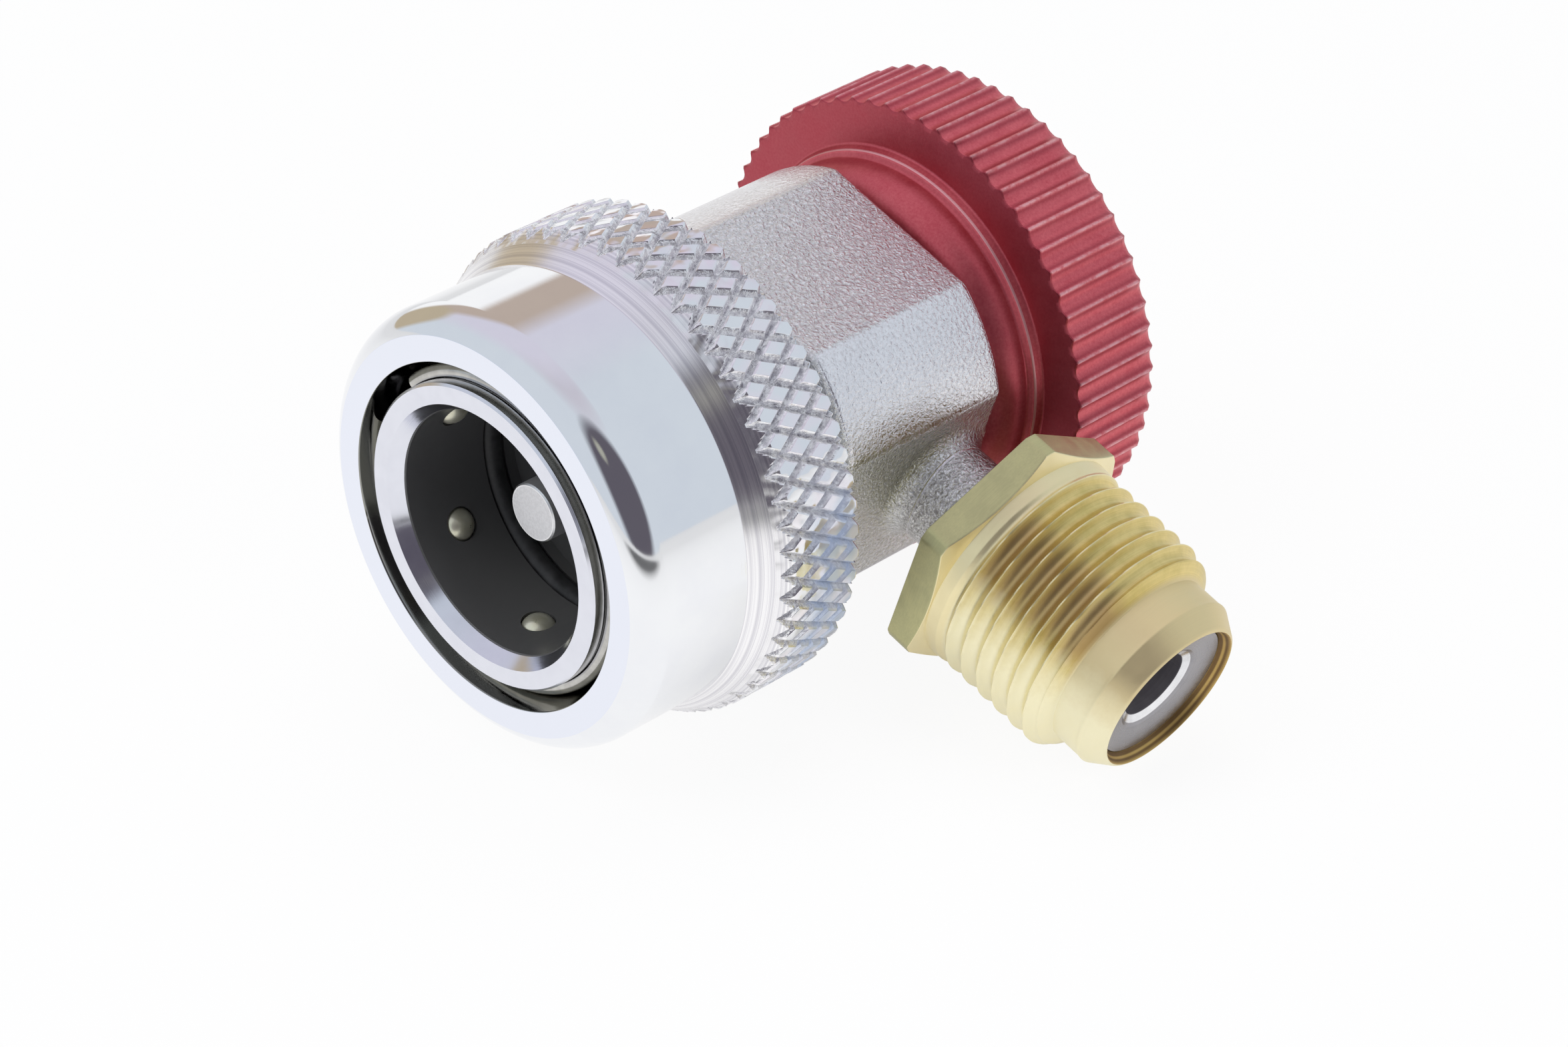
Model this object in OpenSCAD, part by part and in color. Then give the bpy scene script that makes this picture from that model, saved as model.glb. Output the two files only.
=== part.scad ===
// High-side service coupler for a vehicle air-conditioning port.
// X runs along the coupler axis from the open mouth to the hand knob, and the origin is at the
// centre of the mouth face. Z is up as the coupler lies on a bench: on the sleeve's knurl, the
// knob's ribs and the end of the side fitting's thread. All sizes are in millimetres.

/* [Socket nose] */
// Bore that slides over the service port
port_bore_d = 16.4; // [16.1:0.05:16.7]
// Outer diameter of the nose barrel
nose_d = 20.5; // [20.2:0.1:20.9]
// Depth of the socket from its mouth to its floor
socket_depth = 9.95; // [9.6:0.05:11]
// Diameter of the lead-in chamfer at the mouth
mouth_chamfer_d = 17.8; // [17.2:0.1:18.6]
// Length of the lead-in chamfer
mouth_chamfer_len = 1.0; // [0.6:0.1:1.1]
// Bore round the pin that lets the gas through the socket floor
gas_bore_d = 6.0; // [5:0.1:6.6]
// Diameter of the threaded stub that screws into the body
nose_stub_d = 16.0; // [14.5:0.1:16.4]
// Length of the threaded stub
nose_stub_len = 3.9; // [3:0.1:4.3]
// Thickness of the gasket behind the nose shoulder
nose_gasket_t = 0.5; // [0.4:0.1:0.8]
// Thickness of the O-ring in the socket wall
socket_seal_t = 1.5; // [1.3:0.1:1.7]
// Height that this O-ring stands out of the wall
socket_seal_proud = 0.4; // [0.2:0.05:0.5]

/* [Ball lock] */
// Number of locking balls, one node each
ball_count = 6; // [6:1:6]
// Diameter of a ball
ball_d = 2.5; // [2.3:0.05:2.6]
// Distance of the ball centres from the mouth face
ball_x = 4.5; // [4.4:0.05:4.7]
// Height that a locked ball stands into the bore
ball_proud = 0.45; // [0.35:0.05:0.5]
// Angle of the first ball round the axis
first_ball_angle = 30; // [0:1:59]
// Diameter of the wire that keeps the sleeve on the nose
ring_wire_d = 1.2; // [1:0.05:1.3]
// Distance of this wire ring from the mouth face
ring_x = 1.55; // [1.4:0.05:1.8]
// Opening between the ends of the wire ring
ring_gap_angle = 30; // [10:1:60]
// Angle of the middle of that opening
ring_gap_at = 31; // [0:1:359]

/* [Release sleeve] */
// Length of the sleeve
sleeve_len = 16.5; // [16.2:0.1:18]
// Distance that the sleeve pulls back to free the balls
sleeve_travel = 2.6; // [2.5:0.1:3]
// Diameter of the rounded front lip
lip_d = 29.5; // [29:0.1:29.7]
// Radius of the rounding on the lip
lip_round = 1.4; // [1:0.05:1.6]
// Diameter of the barrel where it meets the collar
barrel_d = 29.7; // [29.4:0.1:30.2]
// Opening of the sleeve's front cone
cone_mouth_d = 23.3; // [23:0.1:24]
// Distance from the mouth face to the land that holds the balls in
land_x = 4.2; // [4.1:0.05:4.25]
// Length of this land
land_len = 4.2; // [3.6:0.1:4.8]
// Bore of the spring chamber
spring_bore_d = 26.0; // [25.4:0.1:26.2]
// Diameter over the points of the diamond knurl
knurl_d = 32.9; // [32.4:0.1:33.4]
// Depth of the knurl
knurl_depth = 0.55; // [0.4:0.05:0.7]
// Length of the knurled band
knurl_len = 6.4; // [5.6:0.1:7]
// Length of the bevel in front of the knurl
bevel_len = 1.6; // [1:0.1:2]
// Number of diamonds round the band
knurl_count = 60; // [48:1:66]
// Rows of half diamonds along the band
knurl_rows = 7; // [5:1:9]

/* [Sleeve spring] */
// Wire of the sleeve spring
spring_wire_d = 1.1; // [0.9:0.05:1.2]
// Number of coils
spring_turns = 5.5; // [4:0.5:6]
// Thickness of the washer that the spring pushes on
spring_seat_t = 0.8; // [0.6:0.1:1]

/* [Valve body] */
// Diameter over the rounded corners of the body
body_d = 26.0; // [25.6:0.1:26.4]
// Distance across its flats
body_flats = 22.9; // [22.4:0.1:23.4]
// Length of the body
body_len = 13.9; // [13.8:0.1:15]
// Distance of the side port's axis from the front of the body
port_offset = 9.74; // [9.5:0.02:9.8]
// Diameter of the side boss
boss_d = 7.2; // [6.8:0.1:7.6]
// Radius of the fillet round the side boss
boss_fillet = 0.5; // [0.2:0.05:0.5]
// Diameter of the chamber that the plunger slides in
chamber_d = 8.0; // [7.6:0.1:8.4]
// Side channel from the chamber to the fitting
side_channel_d = 3.0; // [2.4:0.1:3.2]
// Diameter of the threaded stub inside the brass fitting
side_stub_d = 6.4; // [6:0.1:6.6]
// Length of this stub
side_stub_len = 6.0; // [5:0.1:7]

/* [Side fitting] */
// Distance from the coupler axis to the back of the hexagon
hex_back = 17.0; // [16.7:0.1:18]
// Thickness of the hexagon
hex_t = 1.95; // [1.6:0.05:2.4]
// Distance across the flats of the hexagon
hex_flats = 16.6; // [16.2:0.1:17]
// Length of the cone between the hexagon and the thread
shoulder_len = 0.95; // [0.7:0.05:1.2]
// Length that the front chamfer takes off the corners of the hexagon
hex_chamfer = 0.5; // [0.2:0.05:0.8]
// Major diameter of the hose thread
hose_thread_d = 15.88; // [15.7:0.02:16]
// Length of the hose thread
hose_thread_len = 8.3; // [7.5:0.1:9]
// Diameter of the plain nose in front of the thread
tip_d = 13.0; // [12.6:0.1:13.4]
// Length of the plain nose
tip_len = 2.25; // [1.8:0.05:2.6]
// Length of the taper at the end of the nose
tip_taper_len = 1.35; // [1:0.05:1.8]
// Diameter of the end face
tip_end_d = 11.2; // [11:0.1:11.6]
// Bore of the outlet insert
outlet_d = 4.94; // [4.6:0.02:5.2]
// Outer diameter of the outlet insert
insert_d = 9.9; // [9.6:0.1:10]
// Length of the outlet insert
insert_len = 7.9; // [7.6:0.1:8]
// Depth of the cone in the end of the outlet insert
insert_cone = 0.3; // [0.2:0.1:1]

/* [Pin and spindle] */
// Diameter of the pin that opens the service port
pin_d = 3.96; // [3.8:0.02:4.1]
// Distance from the mouth face to the tip of the pin with the knob screwed in
pin_tip_x = 4.3; // [4.2:0.05:4.6]
// Distance that the pin travels
pin_travel = 4.0; // [3.4:0.1:4]
// Length of the pin's fluted guide
guide_len = 2.0; // [1.6:0.1:2.1]
// Diameter of the spindle's smooth shaft
spindle_d = 5.86; // [5.6:0.02:5.96]
// Major diameter of the spindle thread
spindle_thread_d = 8.0; // [7.6:0.1:8.2]
// Neck of the spindle that turns inside the plunger
spindle_neck_d = 3.04; // [2.8:0.02:3.1]
// Drive end of the spindle that carries the knob
drive_d = 5.0; // [4.6:0.1:5.4]

/* [Gland nut] */
// Diameter of the gland's thread in the body
gland_d = 16.0; // [15.4:0.1:16.4]
// Depth of this thread
gland_depth = 2.1; // [1.9:0.05:2.15]
// Distance across the gland's flats
gland_flats = 16.0; // [15:0.1:16.4]
// Thickness of the gland's hexagon
gland_hex_t = 1.7; // [1.4:0.1:2]
// Diameter of the gland's neck inside the knob
gland_neck_d = 12.0; // [11:0.1:12.4]

/* [Knob] */
// Diameter over the ribs of the knob
knob_d = 32.7; // [32.4:0.1:33]
// Depth of the hollow flutes between the ribs
rib_depth = 0.55; // [0.4:0.05:0.8]
// Number of ribs
rib_count = 66; // [48:1:72]
// Length of the ribbed rim
rim_len = 7.45; // [7:0.05:8]
// Length of the hub in front of the rim
hub_len = 3.45; // [3.2:0.05:3.8]
// Diameter of the hub
hub_d = 24.8; // [24:0.1:25.4]
// Rounding of the hub's front edge
hub_round = 2.2; // [1.4:0.1:2.3]
// Cove between hub and rim
hub_cove = 0.6; // [0.3:0.05:0.8]
// Thickness of the web that the knob is screwed down by
web_t = 1.6; // [1.4:0.1:2]
// Depth of the screw's recess in the knob's back
screw_recess_depth = 2.6; // [2.5:0.1:2.8]
// Diameter of the screw's recess
screw_recess_d = 9.4; // [9:0.1:10]
// Diameter of the dished part of the knob's back
dish_d = 24.6; // [22:0.2:26]
// Depth of the dish
dish_depth = 0.9; // [0.5:0.1:1]
// Diameter of the knob screw
screw_d = 3.0; // [2.6:0.1:3.2]
// Diameter of the screw's head
screw_head_d = 6.0; // [5.6:0.1:6.6]
// Height of the screw's head
screw_head_t = 1.7; // [1.4:0.1:1.7]
// Length of the screw below its head
screw_len = 6.5; // [5:0.1:8]
// Thickness of the washer below the head
knob_washer_t = 0.5; // [0.4:0.05:0.6]

/* [Clearances] */
// Radial gap of a sliding or turning fit
run_gap = 0.07; // [0.04:0.01:0.09]
// Radial gap between the sleeve's land and the nose
land_gap = 0.1; // [0.06:0.01:0.1]
// Radial gap of a threaded or pressed joint
thread_gap = 0.05; // [0.02:0.01:0.08]
// Gap left at a stop
stop_gap = 0.3; // [0.2:0.05:0.4]
// Gap between the body and the knob's hub when it is screwed in
knob_gap = 0.4; // [0.3:0.05:0.6]

/* [Hidden] */
$fn = 96;

// small sizes shared by several cuts
cut = 1;
edge = 0.3;
fine_edge = 0.15;
small_gap = 0.1;

// radii
port_bore_r = port_bore_d / 2;
nose_r = nose_d / 2;
mouth_chamfer_r = mouth_chamfer_d / 2;
gas_bore_r = gas_bore_d / 2;
nose_stub_r = nose_stub_d / 2;
ball_r = ball_d / 2;
ball_seat_gap = 0.05;
lip_r = lip_d / 2;
barrel_r = barrel_d / 2;
cone_mouth_r = cone_mouth_d / 2;
spring_bore_r = spring_bore_d / 2;
knurl_r = knurl_d / 2;
valley_r = knurl_r - knurl_depth;
// the smooth core lies this far under the valleys of the knurl
knurl_seat = 0.06;
body_r = body_d / 2;
boss_r = boss_d / 2;
chamber_r = chamber_d / 2;
side_stub_r = side_stub_d / 2;
hose_thread_r = hose_thread_d / 2;
tip_r = tip_d / 2;
tip_end_r = tip_end_d / 2;
outlet_r = outlet_d / 2;
insert_r = insert_d / 2;
pin_r = pin_d / 2;
spindle_r = spindle_d / 2;
spindle_thread_r = spindle_thread_d / 2;
spindle_neck_r = spindle_neck_d / 2;
drive_r = drive_d / 2;
gland_r = gland_d / 2;
gland_neck_r = gland_neck_d / 2;
knob_r = knob_d / 2;
hub_r = hub_d / 2;

// stations along the coupler axis
body_x = sleeve_len + sleeve_travel + stop_gap;
body_end = body_x + body_len;
port_x = body_x + port_offset;
shoulder_x = body_x - nose_gasket_t;
stub_end = body_x + nose_stub_len;
chamber_x = stub_end + stop_gap;
gland_x = body_end - gland_depth;
land_end = land_x + land_len;
knurl_x = sleeve_len - knurl_len;
collar_x = knurl_x - bevel_len;
spring_seat_x = body_x - spring_seat_t;
hub_x = body_end + knob_gap;
rim_x = hub_x + hub_len;
knob_end = rim_x + rim_len;
recess_x = knob_end - screw_recess_depth;
web_x = recess_x - web_t;
gland_end = web_x - stop_gap;
gland_hex_end = body_end + gland_hex_t;
// the plunger stops on the gland when the knob is screwed out
plunger_end = gland_x - pin_travel - fine_edge;
guide_x = chamber_x + stop_gap;
guide_end = guide_x + guide_len;
spindle_x = plunger_end + stop_gap;

// stations along the side port's axis
hex_front = hex_back + hex_t;
thread_start = hex_front + shoulder_len;
thread_end = thread_start + hose_thread_len;
tip_start = thread_end + (hose_thread_r - tip_r);
taper_start = tip_start + tip_len;
tip_end = taper_start + tip_taper_len;
stub_seat = hex_back + side_stub_len;
gasket_t = 0.4;
insert_recess = 0.75;
thread_depth = 0.75;
insert_end = tip_end - insert_recess;
insert_start = insert_end - insert_len;

// the coupler lies on its knurl and knob with the last thread of the fitting on the bench
rest_r = knurl_r;
dip = asin(rest_r / norm([thread_end, hose_thread_r])) - atan2(hose_thread_r, thread_end);

// the locked balls touch the land of the sleeve, less a running gap
ball_centre_r = port_bore_r - ball_proud + ball_r;
land_r = max(nose_r, ball_centre_r + ball_r) + land_gap;
seat_r = 0.9 * ball_r;
seat_depth_r = ball_centre_r - sqrt(pow(ball_r, 2) - pow(seat_r - ball_seat_gap, 2));

// the wire ring sits just inside the sleeve's front cone
cone_angle = atan2(cone_mouth_r - land_r, land_x);
ring_wire_r = ring_wire_d / 2;
ring_r = cone_mouth_r - ring_x * tan(cone_angle) - (ring_wire_r + run_gap) / cos(cone_angle);

// grooves for the seals
socket_seal_back = 0.9;
socket_seal_r = socket_seal_t / 2;
socket_seal_centre_r = port_bore_r - socket_seal_proud + socket_seal_r;
socket_seal_x = socket_depth - socket_seal_r - socket_seal_back;
small_seal_t = 1.2;
small_seal_r = small_seal_t / 2;
seal_side_gap = 0.1;
seal_run_gap = 0.03;
spindle_seal_r = spindle_r + seal_run_gap + small_seal_r;
spindle_seal_x = gland_x + (gland_depth + edge) / 2 + edge;
gland_seal_x = gland_x + gland_depth / 2;
gland_seal_t = 1.0;
gland_seal_centre_r = gland_r - gland_seal_t / 2;
insert_seal_t = 1.0;
insert_seal_centre_r = insert_r - insert_seal_t / 2;
insert_seal_back = 1;
insert_seal_at = (insert_start + insert_end) / 2 - insert_seal_back;
clip_t = 0.6;
clip_x = (guide_x + plunger_end) / 2;
neck_groove = 0.25;
thread_relief = 0.35;
drive_flat = 0.5;

// spring
spring_wire_r = spring_wire_d / 2;
spring_r = (nose_r + spring_bore_r) / 2 + small_gap;
spring_sides = 8;
spring_steps = 20;

function arc(cr, cx, rad, from, to, n = 8) =
    [for (i = [0:n]) let (a = from + (to - from) * i / n) [cr + rad * cos(a), cx + rad * sin(a)]];

// points of the diamond knurl: crossing grooves leave four-sided points between them, and the
// bevel in front runs on into the first row
function knurl_point(i, j) =
    let (peak = (i + j) % 2 == 1 && j > 0, r = peak ? knurl_r : valley_r, a = 180 * i / knurl_count)
    [knurl_x + j * knurl_len / knurl_rows, r * cos(a), r * sin(a)];

// turns children so that their Z axis is the coupler axis
module along_axis(x = 0) {
    translate([x, 0, 0]) rotate([0, 90, 0]) children();
}

// a body of revolution round the coupler axis, from points [radius, x]
module turned(profile) {
    along_axis() rotate_extrude() polygon(profile);
}

// the body's own frame, turned so that -Y is the side port
module body_frame() {
    rotate([dip, 0, 0]) children();
}

// turns children so that their Z axis is the side port's axis
module along_port(s = 0) {
    translate([port_x, 0, 0]) rotate([90 + dip, 0, 0]) translate([0, 0, s]) children();
}

// a body of revolution round the side port's axis, from points [radius, distance]
module port_turned(profile) {
    along_port() rotate_extrude() polygon(profile);
}

// an O-ring round the coupler axis
module o_ring(centre_r, wire_r, x) {
    along_axis(x) rotate_extrude() translate([centre_r, 0]) circle(r = wire_r, $fn = 32);
}

module each_ball_angle() {
    for (k = [0 : ball_count - 1]) rotate([first_ball_angle + k * 360 / ball_count, 0, 0]) children();
}

module valve_body() {
    color([0.77, 0.76, 0.73])
    difference() {
        union() {
            body_frame() intersection() {
                turned([[0, body_x], [body_r - edge, body_x], [body_r, body_x + edge],
                    [body_r, body_end - edge], [body_r - edge, body_end], [0, body_end]]);
                translate([body_x - cut, -body_flats / 2, -body_flats / 2])
                    cube([body_len + 2 * cut, body_flats, body_flats]);
            }
            port_turned(concat([[0, 0], [boss_r, 0], [boss_r, body_flats / 2 - edge],
                [boss_r + boss_fillet, body_flats / 2 - edge]],
                arc(boss_r + boss_fillet, body_flats / 2 + boss_fillet, boss_fillet, 270, 180, 6),
                [[boss_r, hex_back], [side_stub_r, hex_back],
                [side_stub_r, stub_seat - edge], [side_stub_r - edge, stub_seat], [0, stub_seat]]));
        }
        // seat of the nose stub, chamber and gland thread
        along_axis(body_x - cut) cylinder(r = nose_stub_r + thread_gap, h = chamber_x - body_x + cut);
        along_axis(body_x) cylinder(r = chamber_r, h = body_len);
        along_axis(gland_x) cylinder(r = gland_r + thread_gap, h = gland_depth + cut);
        along_port() cylinder(d = side_channel_d, h = stub_seat + cut);
    }
}

module nose_barrel() {
    groove_r = socket_seal_centre_r + socket_seal_r + thread_gap;
    groove_half = socket_seal_r + seal_side_gap;
    ring_groove_r = ring_r - ring_wire_r - thread_gap;
    ring_groove_half = ring_wire_r + seal_side_gap;
    color([0.72, 0.73, 0.75])
    difference() {
        turned([[mouth_chamfer_r, 0], [nose_r - fine_edge, 0], [nose_r, fine_edge],
            [nose_r, ring_x - ring_groove_half], [ring_groove_r, ring_x - ring_groove_half],
            [ring_groove_r, ring_x + ring_groove_half], [nose_r, ring_x + ring_groove_half],
            [nose_r, shoulder_x], [nose_stub_r, shoulder_x],
            [nose_stub_r, stub_end - edge], [nose_stub_r - edge, stub_end],
            [gas_bore_r + edge, stub_end], [gas_bore_r, stub_end - edge],
            [gas_bore_r, socket_depth], [port_bore_r, socket_depth],
            [port_bore_r, socket_seal_x + groove_half], [groove_r, socket_seal_x + groove_half],
            [groove_r, socket_seal_x - groove_half], [port_bore_r, socket_seal_x - groove_half],
            [port_bore_r, mouth_chamfer_len]]);
        each_ball_angle() translate([ball_x, 0, 0]) rotate([-90, 0, 0]) {
            cylinder(r = seat_r, h = nose_r + cut);
            translate([0, 0, seat_depth_r]) cylinder(r = ball_r + ball_seat_gap, h = nose_r);
        }
    }
}

module nose_gasket() {
    color([0.72, 0.45, 0.3])
    turned([[nose_stub_r + thread_gap, shoulder_x], [nose_r - fine_edge, shoulder_x],
        [nose_r - fine_edge, body_x], [nose_stub_r + thread_gap, body_x]]);
}

module socket_seal() {
    color([0.07, 0.07, 0.07]) o_ring(socket_seal_centre_r, socket_seal_r, socket_seal_x);
}

module retaining_ring() {
    color([0.55, 0.55, 0.52])
    rotate([ring_gap_at + ring_gap_angle / 2, 0, 0]) rotate([0, 90, 0]) rotate([0, 0, 90])
        translate([0, 0, ring_x]) rotate_extrude(angle = 360 - ring_gap_angle)
        translate([ring_r, 0]) circle(r = ring_wire_r, $fn = 32);
}

module spring_seat() {
    seat_outer_r = spring_r + spring_wire_r + edge / 2;
    color([0.6, 0.6, 0.62])
    turned([[nose_r + land_gap, spring_seat_x], [seat_outer_r, spring_seat_x],
        [seat_outer_r, body_x], [nose_r + land_gap, body_x]]);
}

module gland_nut() {
    bore_r = spindle_r + run_gap;
    seal_groove_r = spindle_seal_r + small_seal_r + thread_gap;
    seal_half = small_seal_r + seal_side_gap / 2;
    ring_groove_r = gland_seal_centre_r - gland_seal_t / 2 - thread_gap;
    ring_half = gland_seal_t / 2 + seal_side_gap / 2;
    thread_start_x = spindle_seal_x + seal_half + thread_relief;
    color([0.74, 0.62, 0.36])
    difference() {
        union() {
            turned([[0, gland_x], [gland_r - edge, gland_x], [gland_r, gland_x + edge],
                [gland_r, gland_seal_x - ring_half], [ring_groove_r, gland_seal_x - ring_half],
                [ring_groove_r, gland_seal_x + ring_half], [gland_r, gland_seal_x + ring_half],
                [gland_r, body_end], [gland_neck_r, body_end], [gland_neck_r, gland_end - edge],
                [gland_neck_r - edge, gland_end], [0, gland_end]]);
            along_axis(body_end) rotate([0, 0, 30])
                cylinder(r = gland_flats / sqrt(3), h = gland_hex_t, $fn = 6);
        }
        along_axis(gland_x - cut) cylinder(r = bore_r, h = gland_end - gland_x);
        along_axis(spindle_seal_x - seal_half) cylinder(r = seal_groove_r, h = 2 * seal_half);
        along_axis(thread_start_x) cylinder(r = spindle_thread_r + run_gap, h = gland_end);
    }
}

module gland_seal() {
    color([0.07, 0.07, 0.07]) o_ring(gland_seal_centre_r, gland_seal_t / 2, gland_seal_x);
}

module spindle_seal() {
    color([0.07, 0.07, 0.07]) o_ring(spindle_seal_r, small_seal_r, spindle_seal_x);
}

module side_fitting() {
    hex_r = hex_flats / sqrt(3);
    shoulder_r = hex_flats / 2 - small_gap;
    cone_r = shoulder_r - small_gap;
    thread_root_r = hose_thread_r - thread_depth;
    rim_lead = 0.5;
    rim_wall = 0.2;
    side_step = 1.2;
    seat_end = stub_seat + gasket_t;
    color([0.75, 0.65, 0.4])
    difference() {
        union() {
            intersection() {
                along_port(hex_back) rotate([0, 0, 30]) cylinder(r = hex_r, h = hex_t, $fn = 6);
                port_turned([[0, hex_back], [hex_r, hex_back], [hex_r, hex_front - hex_chamfer],
                    [shoulder_r, hex_front], [0, hex_front]]);
            }
            port_turned([[0, hex_back + edge], [cone_r, hex_back + edge], [cone_r, hex_front],
                [thread_root_r, thread_start], [hose_thread_r, thread_start + thread_depth],
                [hose_thread_r, thread_end], [tip_r, tip_start], [tip_r, taper_start],
                [tip_end_r, tip_end], [0, tip_end]]);
        }
        along_port(hex_back - cut) cylinder(r = side_stub_r + thread_gap, h = seat_end - hex_back + cut);
        along_port(hex_back) cylinder(r = side_stub_r - side_step, h = tip_end - hex_back);
        along_port(insert_start) cylinder(r = insert_r + thread_gap, h = tip_end - insert_start + cut);
        // the mouth of the fitting opens towards its thin rim
        port_turned([[0, tip_end - rim_lead], [insert_r + thread_gap, tip_end - rim_lead],
            [tip_end_r - rim_wall, tip_end], [tip_end_r - rim_wall, tip_end + cut], [0, tip_end + cut]]);
    }
}

module fitting_gasket() {
    inner_r = side_channel_d / 2 + small_gap;
    color([0.1, 0.1, 0.1])
    port_turned([[inner_r, stub_seat], [side_stub_r, stub_seat],
        [side_stub_r, stub_seat + gasket_t], [inner_r, stub_seat + gasket_t]]);
}

module outlet_insert() {
    ring_half = insert_seal_t / 2 + seal_side_gap / 2;
    groove_r = insert_seal_centre_r - insert_seal_t / 2 - thread_gap;
    seat_width = 0.7;
    seat_drop = 0.4;
    color([0.85, 0.85, 0.86])
    port_turned([[outlet_r, insert_start], [insert_r - edge, insert_start], [insert_r, insert_start + edge],
        [insert_r, insert_seal_at - ring_half], [groove_r, insert_seal_at - ring_half],
        [groove_r, insert_seal_at + ring_half], [insert_r, insert_seal_at + ring_half],
        [insert_r, insert_end], [outlet_r + seat_width, insert_end - insert_cone],
        [outlet_r, insert_end - insert_cone - seat_drop]]);
}

module insert_seal() {
    color([0.07, 0.07, 0.07])
    along_port(insert_seal_at) rotate_extrude() translate([insert_seal_centre_r, 0])
        circle(r = insert_seal_t / 2, $fn = 32);
}

// crossed grooves cut to points, as one closed band
module knurl_band() {
    n = 2 * knurl_count;
    inner_r = valley_r - knurl_depth;
    outer = [for (j = [0:knurl_rows], i = [0:n - 1]) knurl_point(i, j)];
    inner = [for (x = [knurl_x, sleeve_len], i = [0:n - 1])
        [x, inner_r * cos(180 * i / knurl_count), inner_r * sin(180 * i / knurl_count)]];
    at = function(i, j) j * n + i % n;
    last = at(0, knurl_rows);
    front = len(outer);
    back = front + n;
    skin = [for (j = [0:knurl_rows - 1], i = [0:n - 1])
        let (a = at(i, j), b = at(i + 1, j), c = at(i + 1, j + 1), d = at(i, j + 1))
        each (i + j) % 2 == 0 ? [[a, c, b], [a, d, c]] : [[a, d, b], [b, d, c]]];
    ends = [for (i = [0:n - 1]) let (k = (i + 1) % n)
        each [[i, k, front + k, front + i], [last + i, back + i, back + k, last + k],
            [front + i, front + k, back + k, back + i]]];
    polyhedron(points = concat(outer, inner), faces = concat(skin, ends), convexity = 4);
}

module release_sleeve() {
    core_r = valley_r - knurl_seat;
    color([0.8, 0.82, 0.85])
    union() {
        turned(concat([[cone_mouth_r, 0]],
            arc(lip_r - lip_round, lip_round, lip_round, 270, 360),
            [[barrel_r, collar_x], [core_r, knurl_x], [core_r, sleeve_len],
            [spring_bore_r, sleeve_len], [spring_bore_r, land_end], [land_r, land_end],
            [land_r, land_x]]));
        knurl_band();
    }
}

module sleeve_spring() {
    steps = spring_turns * spring_steps;
    from_x = land_end + spring_wire_r;
    to_x = spring_seat_x - spring_wire_r;
    point = function(i, k)
        let (a = 360 * i / spring_steps, b = 360 * k / spring_sides, r = spring_r + spring_wire_r * cos(b))
        [from_x + (to_x - from_x) * i / steps + spring_wire_r * sin(b), r * cos(a), r * sin(a)];
    points = [for (i = [0:steps], k = [0:spring_sides - 1]) point(i, k)];
    side = [for (i = [0:steps - 1], k = [0:spring_sides - 1])
        let (m = (k + 1) % spring_sides, a = i * spring_sides, b = a + spring_sides)
        each [[a + k, a + m, b + m], [a + k, b + m, b + k]]];
    first = [for (k = [spring_sides - 1:-1:0]) k];
    last = [for (k = [0:spring_sides - 1]) steps * spring_sides + k];
    color([0.6, 0.6, 0.62]) polyhedron(points = points, faces = concat(side, [first, last]), convexity = 6);
}

module ball(k) {
    color([0.83, 0.8, 0.66])
    rotate([first_ball_angle + (k - 1) * 360 / ball_count, 0, 0]) translate([ball_x, ball_centre_r, 0])
        sphere(r = ball_r, $fn = 48);
}

module plunger() {
    guide_r = chamber_r - run_gap;
    tail_gap = 1.2;
    tail_r = chamber_r - tail_gap;
    socket_r = spindle_neck_r + run_gap;
    flutes = 4;
    flute_r = 1.2;
    flute_out = 0.5;
    clip_room = 0.5;
    color([0.78, 0.79, 0.8])
    difference() {
        turned([[0, pin_tip_x], [pin_r - small_gap, pin_tip_x], [pin_r, pin_tip_x + small_gap],
            [pin_r, guide_x], [guide_r - edge, guide_x], [guide_r, guide_x + edge], [guide_r, guide_end],
            [tail_r, guide_end], [tail_r, plunger_end], [0, plunger_end]]);
        along_axis(guide_x + edge) cylinder(r = socket_r, h = plunger_end - guide_x);
        along_axis(clip_x - clip_t / 2) cylinder(r = socket_r + clip_room, h = clip_t);
        for (k = [0:flutes - 1]) rotate([45 + k * 360 / flutes, 0, 0])
            along_axis(guide_x - cut) translate([0, chamber_r + flute_out, 0])
                cylinder(r = flute_r, h = guide_len + 2 * cut);
    }
}

module swivel_clip() {
    clip_wall = 0.45;
    inner_r = spindle_neck_r - neck_groove + run_gap;
    outer_r = spindle_neck_r + run_gap + clip_wall;
    slit = 0.8;
    color([0.35, 0.35, 0.36])
    difference() {
        turned([[inner_r, clip_x - clip_t / 2], [outer_r, clip_x - clip_t / 2],
            [outer_r, clip_x + clip_t / 2], [inner_r, clip_x + clip_t / 2]]);
        translate([clip_x - clip_t, 0, -slit / 2]) cube([2 * clip_t, outer_r + cut, slit]);
    }
}

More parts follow.
